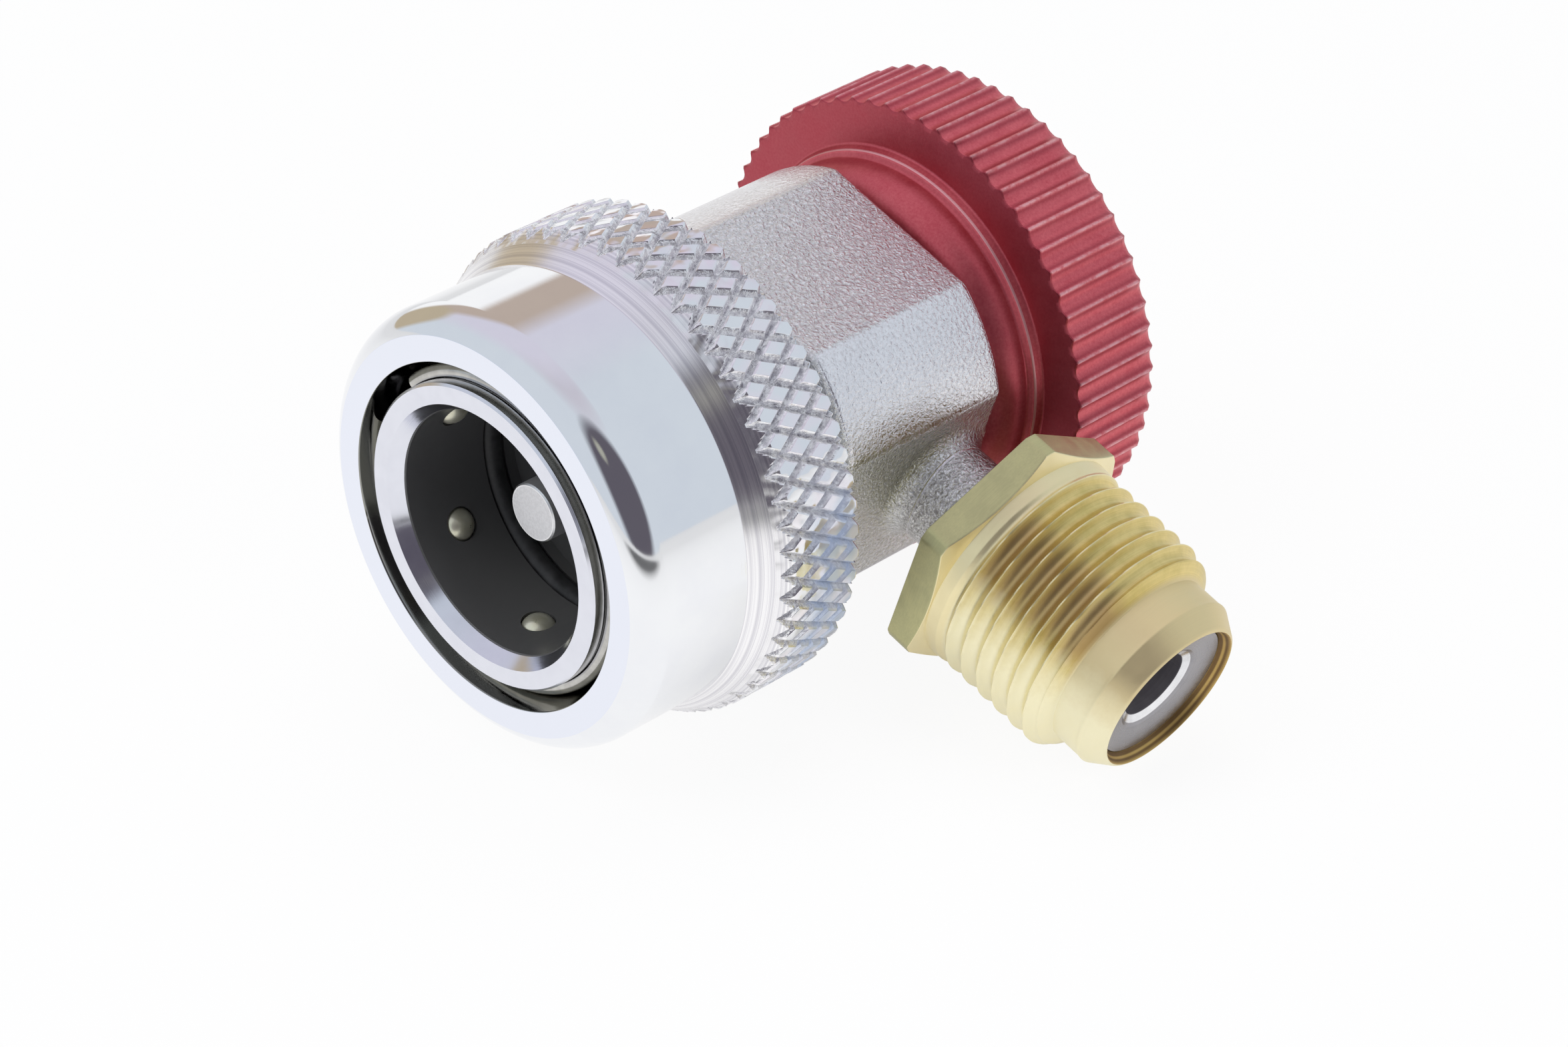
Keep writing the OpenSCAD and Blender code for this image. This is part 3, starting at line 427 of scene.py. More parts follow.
def brassMaterial():
    look = {
        "yellow": (0.86, 0.70, 0.30), "olive": (0.66, 0.53, 0.19), "hexPale": (0.62, 0.59, 0.31),
        "hexDull": (0.51, 0.49, 0.26), "cream": (0.93, 0.82, 0.50), "beige": (0.80, 0.67, 0.39),
        "flare": (0.62, 0.42, 0.14), "flareDark": (0.22, 0.13, 0.05), "crest": (0.96, 0.88, 0.58),
        "paintedGlare": (1.0, 0.94, 0.66), "brown": (0.46, 0.30, 0.14), "roughness": (0.30, 0.46), "noseRough": 0.06,
        "metallic": 0.88, "noseDulling": 0.16,
        "hexFront": 19.36 * mm, "coneRadius": 8.05 * mm, "coneSlope": 0.43, "coneSkin": 0.03 * mm,
        "threadStart": 20.5 * mm, "coneFade": 0.4 * mm, "tipStart": 29.2 * mm, "tipFade": 0.2 * mm,
        "fluteFloor": 7.5 * mm, "fluteTop": 7.9 * mm, "crestFrom": 7.89 * mm, "crestTo": 7.935 * mm,
        "mouthStart": 32.3 * mm, "mouthRadius": 5.43 * mm, "fluteShadeSide": 134, "glareSide": 208,
        "fineNoise": (11000, 2.0, 0.7), "cloudNoise": (520, 4.0, 0.65), "gritNoise": (6000, 2.0, 0.6),
        "markNoise": (5200, 1.0, 0.5),
    }
    material, tree, shader = newMaterial("rawBrass")
    point = objectPoint(tree)
    reach, radius = aboutPort(tree)
    rings = joinPoint(tree, reach, radius)
    fine = noiseField(tree, rings, *look["fineNoise"])
    cloud = noiseField(tree, point, *look["cloudNoise"])
    grit = noiseField(tree, point, *look["gritNoise"])
    tone = blendOf(tree, fine, cloud, 0.35)
    base = tint(tree, tone, 0.38, 0.62, look["olive"], look["yellow"])
    # the hexagon keeps the drawn skin of the bar; the cone behind the thread is turned bright, the nose is dull
    hexagon = tint(tree, tone, 0.38, 0.62, look["hexDull"], look["hexPale"])
    base = mixColour(tree, below(tree, reach, look["threadStart"]), base, hexagon)
    slant = plus(tree, reach, times(tree, minus(tree, radius, look["coneRadius"]), look["coneSlope"]))
    cone = times(tree, above(tree, slant, look["hexFront"] - look["coneSkin"]),
                 fade(tree, reach, look["threadStart"], look["threadStart"] + look["coneFade"]))
    nose = remap(tree, reach, look["tipStart"], look["tipStart"] + look["tipFade"])
    offset = vectorNode(tree, "SUBTRACT", point, portCentre)[0]
    threaded = above(tree, reach, look["threadStart"])

    # how far a point faces one side of the fitting, made uneven by the clouds
    def facing(degrees, unevenness):
        side = mainAxis * math.cos(math.radians(degrees)) + portUp * math.sin(math.radians(degrees))
        toward = ratio(tree, dotOf(tree, offset, side), larger(tree, radius, 1.0 * mm))
        return plus(tree, toward, times(tree, minus(tree, cloud, 0.5), unevenness))

    # painted shade lies brown in the flutes facing one side, and the underside takes a pale straw-coloured painted
    # reflection
    flute = times(tree, remap(tree, radius, look["fluteFloor"], look["fluteTop"], 1.0, 0.3), threaded)
    fluteShade = times(tree, flute, remap(tree, facing(look["fluteShadeSide"], 0.10), 0.90, 0.985, 0.0, 0.75))
    base = mixColour(tree, fluteShade, base, look["brown"])
    paintedGlare = remap(tree, facing(look["glareSide"], 0.4), 0.50, 0.88, 0.0, 0.9)
    base = mixColour(tree, times(tree, paintedGlare, threaded), base, look["paintedGlare"])
    base = mixColour(tree, cone, base, look["cream"])
    # painted reflection: the nose's underside takes the same pale straw glare
    base = mixColour(tree, times(tree, nose, 0.85), base, mixColour(tree, paintedGlare, look["beige"], look["paintedGlare"]))
    # rubbed crests of the thread
    crest = times(tree, remap(tree, radius, look["crestFrom"], look["crestTo"]),
                  between(tree, reach, look["threadStart"], look["tipStart"]))
    base = mixColour(tree, times(tree, crest, 0.8), base, look["crest"])
    # tool marks in the flared mouth
    mouth = times(tree, above(tree, reach, look["mouthStart"]), below(tree, radius, look["mouthRadius"]))
    marks = noiseField(tree, rings, *look["markNoise"])
    base = mixColour(tree, mouth, base, tint(tree, marks, 0.40, 0.60, look["flareDark"], look["flare"]))
    setSockets(tree, shader, {
        "Base Color": base,
        "Roughness": plus(tree, gloss(tree, cloud, *look["roughness"]), times(tree, nose, look["noseRough"])),
        "Normal": bumpLayers(tree, (fine, 0.006 * mm, 0.7), (grit, 0.008 * mm, 0.5)),
        "Metallic": minus(tree, look["metallic"], times(tree, nose, look["noseDulling"]))})
    return material


# polished steel whose bore is darkened with painted shade
def noseSteelMaterial():
    look = {
        "pale": (0.78, 0.79, 0.86), "dull": (0.74, 0.75, 0.82), "roughness": (0.12, 0.20),
        "bore": (0.115, 0.115, 0.115), "boreFrom": 0.9 * mm, "boreTo": 10.3 * mm, "boreRadius": 8.85 * mm,
        "boreRough": 0.16, "boreDulling": 0.85, "fineNoise": (13000, 2.0, 0.7), "cloudNoise": (600, 4.0, 0.6),
    }
    material, tree, shader = newMaterial("noseSteel")
    reach, radius = aboutMain(tree)
    fine = noiseField(tree, joinPoint(tree, reach, radius), *look["fineNoise"])
    cloud = noiseField(tree, objectPoint(tree), *look["cloudNoise"])
    plain = tint(tree, cloud, 0.36, 0.62, look["dull"], look["pale"])
    shadedBore = times(tree, below(tree, radius, look["boreRadius"]),
                   between(tree, reach, look["boreFrom"], look["boreTo"]))
    setSockets(tree, shader, {
        "Base Color": mixColour(tree, shadedBore, plain, look["bore"]),
        "Roughness": plus(tree, gloss(tree, cloud, *look["roughness"]), times(tree, shadedBore, look["boreRough"])),
        "Normal": bumpLayers(tree, (fine, 0.004 * mm, 0.6)),
        "Metallic": opposite(tree, times(tree, shadedBore, look["boreDulling"]))})
    return material


# a speckled bright end with a painted highlight on its rim, on a shaft darkened with painted shade
def pinSteelMaterial():
    look = {"face": (0.78, 0.78, 0.80), "speck": (0.66, 0.66, 0.68), "rim": (0.92, 0.92, 0.93),
            "rimRadius": 1.80 * mm, "shaft": (0.44, 0.44, 0.45), "faceEnd": 4.42 * mm, "shaftDulling": 0.7,
            "roughness": (0.30, 0.44), "speckNoise": (5200, 3.0, 0.7)}
    material, tree, shader = newMaterial("pinSteel")
    reach, radius = aboutMain(tree)
    speck = noiseField(tree, objectPoint(tree), *look["speckNoise"])
    face = tint(tree, speck, 0.40, 0.60, look["speck"], look["face"])
    face = mixColour(tree, above(tree, radius, look["rimRadius"]), face, look["rim"])
    shaft = above(tree, reach, look["faceEnd"])
    setSockets(tree, shader, {
        "Base Color": mixColour(tree, shaft, face, look["shaft"]),
        "Roughness": gloss(tree, speck, *look["roughness"]),
        "Normal": bumpLayers(tree, (speck, 0.008 * mm, 0.7)),
        "Metallic": opposite(tree, times(tree, shaft, look["shaftDulling"]))})
    return material


# a bright ring round the bore, a duller cone outside it, and the bore darkened with painted shade
def insertNickelMaterial():
    look = {"ring": (0.92, 0.92, 0.94), "cone": (0.40, 0.39, 0.41), "ringRadius": 2.95 * mm, "coneRough": 0.10,
            "bore": (0.20, 0.19, 0.21), "boreRadius": 2.5 * mm, "roughness": (0.14, 0.22), "shade": 0.80,
            "fineNoise": (12000, 2.0, 0.7), "cloudNoise": (900, 4.0, 0.6)}
    material, tree, shader = newMaterial("insertNickel")
    reach, radius = aboutPort(tree)
    fine = noiseField(tree, joinPoint(tree, reach, radius), *look["fineNoise"])
    cloud = noiseField(tree, objectPoint(tree), *look["cloudNoise"])
    tone = remap(tree, blendOf(tree, fine, cloud, 0.4), 0.36, 0.64, look["shade"], 1.0)
    outside = above(tree, radius, look["ringRadius"])
    shadedBore = below(tree, radius, look["boreRadius"])
    base = mixColour(tree, shadedBore, mixColour(tree, outside, look["ring"], look["cone"]), look["bore"])
    setSockets(tree, shader, {
        "Base Color": mixColour(tree, tone, (0.0, 0.0, 0.0), base),
        "Roughness": plus(tree, gloss(tree, cloud, *look["roughness"]), times(tree, outside, look["coneRough"])),
        "Normal": bumpLayers(tree, (fine, 0.005 * mm, 0.6)),
        "Metallic": opposite(tree, shadedBore)})
    return material


def rubberMaterial():
    look = {"black": (0.018, 0.018, 0.019), "dusty": (0.045, 0.045, 0.047), "roughness": (0.42, 0.58),
            "cloudNoise": (900, 4.0, 0.6)}
    material, tree, shader = newMaterial("sealRubber")
    cloud = noiseField(tree, objectPoint(tree), *look["cloudNoise"])
    setSockets(tree, shader, {"Base Color": tint(tree, cloud, 0.35, 0.65, look["black"], look["dusty"]),
                              "Roughness": gloss(tree, cloud, *look["roughness"])})
    return material


chrome = chromeMaterial()
castNickel = castNickelMaterial()
redAnodised = redAnodisedMaterial()
rawBrass = brassMaterial()
noseSteel = noseSteelMaterial()
sealRubber = rubberMaterial()
ballSteel = turnedMetal("ballSteel")
pinSteel = pinSteelMaterial()
ringSteel, springSteel, zincPlate, turnedBrass, copperGasket = [
    turnedMetal(name) for name in ("ringSteel", "springSteel", "zincPlate", "turnedBrass", "copperGasket")]
insertNickel = insertNickelMaterial()
print("materials made")


# replaces each corner of a closed outline by a small arc, and keeps a row beside it so that flat faces stay flat;
# a point is (radius, along, weight, size of its corner)
def softOutline(points, steps=3):
    bluntAngle, shareOfSide, besideArc = math.radians(172), 0.32, 1.35
    soft = []
    for index, (across, along, weight, size) in enumerate(points):
        here = Vector((across, along))
        before = Vector(points[index - 1][:2]) - here
        after = Vector(points[(index + 1) % len(points)][:2]) - here
        reach = min(size, before.length * shareOfSide, after.length * shareOfSide)
        if size <= 0 or min(before.length, after.length) < 1e-6 or before.angle(after) > bluntAngle:
            soft.append((here.x, here.y, weight))
            continue
        toFirst, toLast = before.normalized() * reach, after.normalized() * reach
        spots = [here + toFirst * besideArc]
        for step in range(steps + 1):
            t = step / steps
            spots.append((here + toFirst) * (1 - t) ** 2 + here * (2 * t * (1 - t)) + (here + toLast) * t ** 2)
        spots.append(here + toLast * besideArc)
        soft += [(spot.x, spot.y, weight) for spot in spots]
    return soft


# splits the stretches of an outline that are tagged, so that a rule can shape them
def denseRows(points, spacing):
    rows = []
    for index, point in enumerate(points):
        rows.append(point)
        following = points[(index + 1) % len(points)]
        if point[2] > 0 and following[2] > 0:
            parts = max(1, round(math.dist(point[:2], following[:2]) / spacing))
            rows += [tuple(a + (b - a) * (part / parts) for a, b in zip(point, following))
                     for part in range(1, parts)]
    return rows


# a closed skin round the X axis from rows of (radius, along, weight); shape(angle, row) may change a row's radius
def turnedSkin(name, rows, columns, shape=None, diagonal=None):
    mesh = bmesh.new()
    band = mesh.verts.layers.float.new("band")
    rings = []
    for row in rows:
        ring = []
        for column in range(columns):
            angle = 2 * math.pi * column / columns
            radius, along = shape(angle, row) if shape else row[:2]
            vertex = mesh.verts.new((along * mm, radius * mm * math.cos(angle), radius * mm * math.sin(angle)))
            vertex[band] = row[2]
            ring.append(vertex)
        rings.append(ring)
    # a face may be split along one of its diagonals
    splits = {0: [(0, 1, 2, 3)], 1: [(0, 1, 2), (0, 2, 3)], 2: [(0, 1, 3), (1, 2, 3)]}
    for number, first in enumerate(rings):
        second = rings[(number + 1) % len(rings)]
        for column in range(columns):
            following = (column + 1) % columns
            corners = [first[column], first[following], second[following], second[column]]
            for part in splits[diagonal(number, column) if diagonal else 0]:
                mesh.faces.new([corners[corner] for corner in part])
    bmesh.ops.remove_doubles(mesh, verts=mesh.verts, dist=1e-8)
    bmesh.ops.recalc_face_normals(mesh, faces=mesh.faces)
    data = bpy.data.meshes.new(name)
    mesh.to_mesh(data)
    mesh.free()
    return newPiece(name, data)


def newPiece(name, data):
    smoothFaces(data)
    piece = bpy.data.objects.new(name, data)
    bpy.context.scene.collection.objects.link(piece)
    return piece


def smoothFaces(data):
    data.polygons.foreach_set("use_smooth", [True] * len(data.polygons))


# edges sharper than this many degrees stay crisp
def sharpen(piece, degrees):
    mesh = bmesh.new()
    mesh.from_mesh(piece.data)
    for edge in mesh.edges:
        edge.smooth = len(edge.link_faces) != 2 or edge.calc_face_angle(0.0) < math.radians(degrees)
    mesh.to_mesh(piece.data)
    mesh.free()


# the modifiers' result becomes the piece's own mesh
def bakeModifiers(piece):
    shaped = bpy.data.meshes.new_from_object(piece.evaluated_get(bpy.context.evaluated_depsgraph_get()))
    piece.modifiers.clear()
    piece.data = shaped
    shaped.name = piece.name


def newRuleTree(name, inputs, takesMesh):
    tree = bpy.data.node_groups.new(name, "GeometryNodeTree")
    sockets = [("Geometry", "INPUT", "NodeSocketGeometry")] if takesMesh else []
    sockets += [(label, "INPUT", "NodeSocketFloat") for label in inputs]
    sockets += [("Finish", "INPUT", "NodeSocketMaterial"), ("Geometry", "OUTPUT", "NodeSocketGeometry")]
    for label, direction, kind in sockets:
        tree.interface.new_socket(label, in_out=direction, socket_type=kind)
    return tree, tree.nodes.new("NodeGroupInput").outputs


def endRuleTree(tree, geometry, finish):
    whole = addNode(tree, "GeometryNodeRealizeInstances", {0: geometry})
    finished = addNode(tree, "GeometryNodeSetMaterial", {"Geometry": whole.outputs[0], "Material": finish})
    tree.links.new(finished.outputs[0], tree.nodes.new("NodeGroupOutput").inputs[0])


# newRadius gives each point of a turned piece its distance from the X axis
def ruleTree(name, inputs, newRadius):
    tree, start = newRuleTree(name, inputs, True)
    along, across, up = splitPoint(tree, tree.nodes.new("GeometryNodeInputPosition").outputs[0])
    lap = ratio(tree, mathNode(tree, "ARCTAN2", up, across), 2 * math.pi)
    radius = mathNode(tree, "SQRT", plus(tree, times(tree, across, across), times(tree, up, up)))
    band = addNode(tree, "GeometryNodeInputNamedAttribute", {"Name": "band"}, data_type="FLOAT").outputs[0]
    wanted = newRadius(tree, start, along, lap, radius, band)
    factor = ratio(tree, wanted, larger(tree, radius, 1e-6))
    moved = joinPoint(tree, along, times(tree, across, factor), times(tree, up, factor))
    place = addNode(tree, "GeometryNodeSetPosition", {"Geometry": start["Geometry"], "Position": moved})
    endRuleTree(tree, place.outputs[0], start["Finish"])
    return tree


def applyRule(piece, tree, values):
    modifier = piece.modifiers.new(tree.name, "NODES")
    modifier.node_group = tree
    for item in tree.interface.items_tree:
        if item.item_type == "SOCKET" and item.in_out == "INPUT" and item.name in values:
            modifier[item.identifier] = values[item.name]
    bakeModifiers(piece)


# 1 halfway between two grooves, 0 in a groove
def grooveWave(tree, turns):
    saw = mathNode(tree, "FRACT", turns)
    return opposite(tree, mathNode(tree, "ABSOLUTE", minus(tree, times(tree, saw, 2.0), 1.0)))


# hollow flutes between narrow crests: 0 on a crest, 1 deep in a flute
def fluteWave(tree, turns, crest, soft):
    saw = mathNode(tree, "FRACT", turns)
    hollow = times(tree, times(tree, saw, 4.0), opposite(tree, saw))
    return mathNode(tree, "SMOOTH_MAX", minus(tree, hollow, crest), 0.0, soft)


sleeve = {
    "faceRadius": 13.4, "lipEnd": 2.0, "lipTurn": 60, "lipSteps": 18, "barrelRadius": 14.85, "collarPlace": 8.5,
    "knurlPlace": 10.2, "sleeveEnd": 16.5, "knurlRadius": 16.45, "knurlDepth": 0.5, "flatTop": 3 / 7,
    "coneRadius": 15.93, "knurlCount": 60, "rowLength": 1.47,
    "mouthRadius": 11.65, "landRadius": 10.35, "landPlace": 4.2, "landEnd": 8.4, "springBore": 13.0,
    "edge": 0.12, "stepsPerGroove": 14, "crispFrom": 13,
}


def knurlRadius(tree, inputs, along, lap, radius, band):
    across = times(tree, lap, inputs["Points round"])
    onward = ratio(tree, minus(tree, along, inputs["Start"]), inputs["Row length"])
    onward = times(tree, onward, 0.5)
    first = grooveWave(tree, plus(tree, across, onward))
    second = grooveWave(tree, minus(tree, across, onward))
    height = smaller(tree, first, second)
    height = mathNode(tree, "SMOOTH_MIN", height, inputs["Flat top"], 0.03)
    drop = times(tree, minus(tree, inputs["Flat top"], height), inputs["Depth"])
    cut = minus(tree, radius, times(tree, drop, band))
    # the teeth end on the bevel's cone, drawn on under them
    cone = plus(tree, inputs["Cone radius"],
                times(tree, inputs["Cone slope"], minus(tree, along, inputs["Start"])))
    toothed = smaller(tree, cut, larger(tree, cone, 0.0))
    return plus(tree, times(tree, toothed, band), times(tree, cut, opposite(tree, band)))


def arcRows(centreRadius, centreAlong, radius, start, end, steps):
    rows = []
    for step in range(steps + 1):
        angle = math.radians(start + (end - start) * step / steps)
        rows.append((centreRadius + radius * math.cos(angle), centreAlong + radius * math.sin(angle), 0.0, 0.0))
    return rows


def makeSleeve():
    s = sleeve
    # the lip is an arc that meets the face and the barrel in fine edges
    rise, run = s["barrelRadius"] - s["faceRadius"], s["lipEnd"]
    halfTurn = math.radians(s["lipTurn"] / 2)
    lipRadius = math.hypot(rise, run) / 2 / math.sin(halfTurn)
    firstAngle = math.atan2(run, rise) - math.pi / 2 - halfTurn
    lip = arcRows(s["faceRadius"] - lipRadius * math.cos(firstAngle), -lipRadius * math.sin(firstAngle), lipRadius,
                  math.degrees(firstAngle), math.degrees(firstAngle) + s["lipTurn"], s["lipSteps"])
    valley = s["knurlRadius"] - s["knurlDepth"]
    step = s["rowLength"] * 2 / s["stepsPerGroove"]
    slope = (s["coneRadius"] - s["barrelRadius"]) / (s["knurlPlace"] - s["collarPlace"])
    bandPlace = s["knurlPlace"] - step
    outline = [(s["mouthRadius"], 0, 0, 0.08), (s["faceRadius"] - 0.05, 0, 0, 0)] + lip
    outline += [(s["barrelRadius"], s["lipEnd"] + 0.06, 0, 0), (s["barrelRadius"], s["collarPlace"], 0, 0.05),
                (s["coneRadius"] - slope * step - 0.012, bandPlace - 0.02, 0, 0),
                (s["knurlRadius"], bandPlace, 1, 0), (s["knurlRadius"], s["sleeveEnd"], 1, 0),
                (valley - 0.05, s["sleeveEnd"], 0, 0),
                (s["springBore"], s["sleeveEnd"], 0, s["edge"]), (s["springBore"], s["landEnd"], 0, s["edge"]),
                (s["landRadius"], s["landEnd"], 0, s["edge"]), (s["landRadius"], s["landPlace"], 0, 0.1)]
    rows = denseRows(softOutline(outline), step)
    firstRow = next(number for number, row in enumerate(rows) if row[2] > 0)

    # faces of the knurl are split along the nearer of the two grooves
    def knurlDiagonal(number, column):
        if rows[number][2] == 0 or rows[(number + 1) % len(rows)][2] == 0:
            return 0
        onward, grooves = number - firstRow - 1, s["stepsPerGroove"]
        one, other = (column + onward + 1) % grooves, (column - onward) % grooves
        return 2 if min(one, grooves - one) <= min(other, grooves - other) else 1

    piece = turnedSkin("releaseSleeve", rows, s["knurlCount"] * s["stepsPerGroove"], None, knurlDiagonal)
    applyRule(piece, ruleTree("diamondKnurl", ["Points round", "Start", "Row length", "Depth", "Flat top",
                                               "Cone radius", "Cone slope"], knurlRadius), {
        "Points round": float(s["knurlCount"]), "Start": s["knurlPlace"] * mm, "Row length": s["rowLength"] * mm,
        "Depth": s["knurlDepth"] * mm / s["flatTop"], "Flat top": s["flatTop"], "Cone radius": s["coneRadius"] * mm,
        "Cone slope": slope, "Finish": chrome})
    sharpen(piece, s["crispFrom"])
    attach(piece, "release_sleeve")
    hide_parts("release_sleeve")


makeSleeve()
print("release sleeve made")


knob = {
    "hubPlace": 33.7, "rimPlace": 37.15, "end": 44.6, "recessPlace": 42.0, "webPlace": 40.4,
    "hubRadius": 12.4, "hubRound": 2.2, "cove": 0.6, "ledge": 12.85,
    "radius": 16.35, "ribDepth": 0.42, "ribCount": 66, "ribPhase": 0.42, "crestWidth": 0.07, "crestSoft": 0.10,
    "backEdge": 0.6, "dishRadius": 12.3, "dishDepth": 0.9, "recessRadius": 4.7,
    "nutRoom": 9.64, "nutRoomEnd": 36.0, "neckRoom": 6.3, "driveBore": 2.55,
    "edge": 0.12, "stepsPerRib": 16, "rowSpacing": 1.4, "crispFrom": 42,
}


def ribRadius(tree, inputs, along, lap, radius, band):
    turns = minus(tree, times(tree, lap, inputs["Ribs"]), inputs["Phase"])
    hollow = fluteWave(tree, turns, inputs["Crest"], knob["crestSoft"])
    return minus(tree, radius, times(tree, hollow, inputs["Depth"], band))


def makeKnob():
    k = knob
    edge, backEdge = k["edge"], k["backEdge"]
    dishFloor = k["end"] - k["dishDepth"]
    outline = [(k["nutRoom"], k["hubPlace"], 0, 0.15)]
    outline += arcRows(k["hubRadius"] - k["hubRound"], k["hubPlace"] + k["hubRound"], k["hubRound"], 270, 360, 9)
    outline += [(k["hubRadius"], k["rimPlace"] - k["cove"] - 0.25, 0, edge),
                (k["ledge"], k["rimPlace"] - k["cove"], 0, 0.08), (k["ledge"] + 0.2, k["rimPlace"], 0, edge),
                (k["radius"] - k["ribDepth"] - 0.30, k["rimPlace"], 0, 0),
                (k["radius"] - 0.10, k["rimPlace"] + 0.01, 1, 0), (k["radius"], k["rimPlace"] + 0.10, 1, 0),
                (k["radius"], k["end"] - backEdge, 1, 0),
                (k["radius"] - backEdge * 0.45, k["end"] - backEdge * 0.25, 0.8, 0),
                (k["radius"] - backEdge, k["end"], 0.25, 0),
                (k["dishRadius"], k["end"], 0, edge), (k["dishRadius"], dishFloor, 0, edge),
                (k["recessRadius"], dishFloor, 0, edge), (k["recessRadius"], k["recessPlace"], 0, edge),
                (k["driveBore"], k["recessPlace"], 0, 0.1), (k["driveBore"], k["webPlace"], 0, 0.1),
                (k["neckRoom"], k["webPlace"], 0, 0), (k["neckRoom"], k["nutRoomEnd"], 0, 0),
                (k["nutRoom"], k["nutRoomEnd"], 0, 0)]
    rows = denseRows(softOutline(outline), k["rowSpacing"])
    piece = turnedSkin("ribbedKnob", rows, k["ribCount"] * k["stepsPerRib"])
    applyRule(piece, ruleTree("straightRibs", ["Ribs", "Phase", "Depth", "Crest"], ribRadius), {
        "Ribs": float(k["ribCount"]), "Phase": k["ribPhase"], "Depth": k["ribDepth"] * mm,
        "Crest": k["crestWidth"], "Finish": redAnodised})
    sharpen(piece, k["crispFrom"])
    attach(piece, "knob")
    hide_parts("knob")


makeKnob()
print("knob made")


fitting = {
    "hexBack": 17.0, "hexFront": 19.36, "hexFlats": 16.3, "hexCorner": 9.2, "hexChamfer": 0.5,
    "coneEnd": 20.15, "runOut": 21.0, "threadRadius": 7.94, "threadEnd": 28.2,
    "pitch": 1.405, "threadDepth": 0.62, "threadPhase": 0.50, "crestWidth": 0.10, "crestSoft": 0.05,
    "tipRadius": 6.5, "tipStart": 29.45, "taperStart": 31.70, "tipEndRadius": 5.6, "tipEnd": 33.24,
    "flareDepth": 0.78, "insertSeat": 5.0, "insertBack": 24.59, "stubBore": 3.25, "stubSeat": 23.4, "gasBore": 2.0,
    "columns": 300, "rowSpacing": 0.075, "crispFrom": 33,
}


# the thread's flutes run out on the cone at the back
def threadRadius(tree, inputs, along, lap, radius, band):
    turns = plus(tree, minus(tree, ratio(tree, along, inputs["Pitch"]), lap), inputs["Phase"])
    hollow = fluteWave(tree, turns, inputs["Crest width"], fitting["crestSoft"])
    cut = minus(tree, inputs["Crest"], times(tree, inputs["Depth"], times(tree, hollow, band)))
    cut = smaller(tree, cut, radius)
    return plus(tree, times(tree, cut, above(tree, band, 0.0)), times(tree, radius, below(tree, band, 1e-6)))


def makeFitting():
    f = fitting
    back, front = f["hexBack"], f["hexFront"]
    halfFlats = f["hexFlats"] / 2
    shoulder = halfFlats - 0.1
    slope = f["hexChamfer"] / (f["hexCorner"] - shoulder)
    # rows of the hexagon: how far inside its flats, where, and whether they follow its turned-off front corners
    hexRows = [(0.04, back, 0), (0, back + 0.04, 0), (0, back + 0.12, 0),
               (0, front - 0.12, 1), (0, front - 0.03, 1), (0.03, front + 0.02, 1)]

    def hexRow(angle, row):
        radius, along, weight, number = row
        if number is None:
            return radius, along
        wrapped = (math.degrees(angle) + 30) % 60 - 30
        flat = min(halfFlats / math.cos(math.radians(wrapped)), f["hexCorner"])
        drop = (flat - shoulder) * slope
        if number == len(hexRows):
            return (shoulder + flat) / 2, front - drop / 2
        inset, place, turnedOff = hexRows[number]
        return flat - inset, place - drop * turnedOff

    thread, tip = f["threadRadius"], f["tipRadius"]
    outline = [(shoulder - 0.06, front + 0.06, 0, 0),
               (thread + 0.02, f["coneEnd"], 0, 0), (thread, f["coneEnd"] + 0.1, 0.01, 0),
               (thread, f["runOut"], 1, 0), (thread, f["threadEnd"], 1, 0),
               (thread - 0.14, f["threadEnd"] + 0.3, 1, 0), (thread - 0.44, f["threadEnd"] + 0.65, 1, 0),
               (tip + 0.06, f["tipStart"] - 0.06, 1, 0), (tip, f["tipStart"], 0, 0),
               (tip, f["taperStart"] - 0.25, 0, 0.10), (tip + 0.05, f["taperStart"], 0, 0.12),
               (f["tipEndRadius"] + 0.02, f["tipEnd"] - 0.12, 0, 0.12),
               (f["tipEndRadius"] - 0.18, f["tipEnd"], 0, 0.08),
               (f["insertSeat"], f["tipEnd"] - f["flareDepth"], 0, 0.08), (f["insertSeat"], f["insertBack"], 0, 0.10),
               (f["gasBore"], f["insertBack"], 0, 0.10), (f["gasBore"], f["stubSeat"], 0, 0.05),
               (f["stubBore"], f["stubSeat"], 0, 0.10), (f["stubBore"], back, 0, 0.10)]
    rows = [(f["stubBore"] + 0.5, back, 0, None), (shoulder - 0.4, back, 0, None)]
    rows += [(0, 0, 0, number) for number in range(len(hexRows) + 1)]
    rows += [(shoulder, front, 0, None), (shoulder - 0.04, front + 0.01, 0, None)]
    rows += [(*row, None) for row in denseRows(softOutline(outline), f["rowSpacing"])]
    piece = turnedSkin("hoseFitting", rows, f["columns"], hexRow)
    applyRule(piece, ruleTree("screwThread", ["Pitch", "Crest", "Depth", "Phase", "Crest width"], threadRadius), {
        "Pitch": f["pitch"] * mm, "Crest": thread * mm, "Depth": f["threadDepth"] * mm,
        "Phase": f["threadPhase"], "Crest width": f["crestWidth"], "Finish": rawBrass})
    setOnPort(piece)
    sharpen(piece, f["crispFrom"])
    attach(piece, "valve_body")
    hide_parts("side_fitting")


makeFitting()
print("hose fitting made")


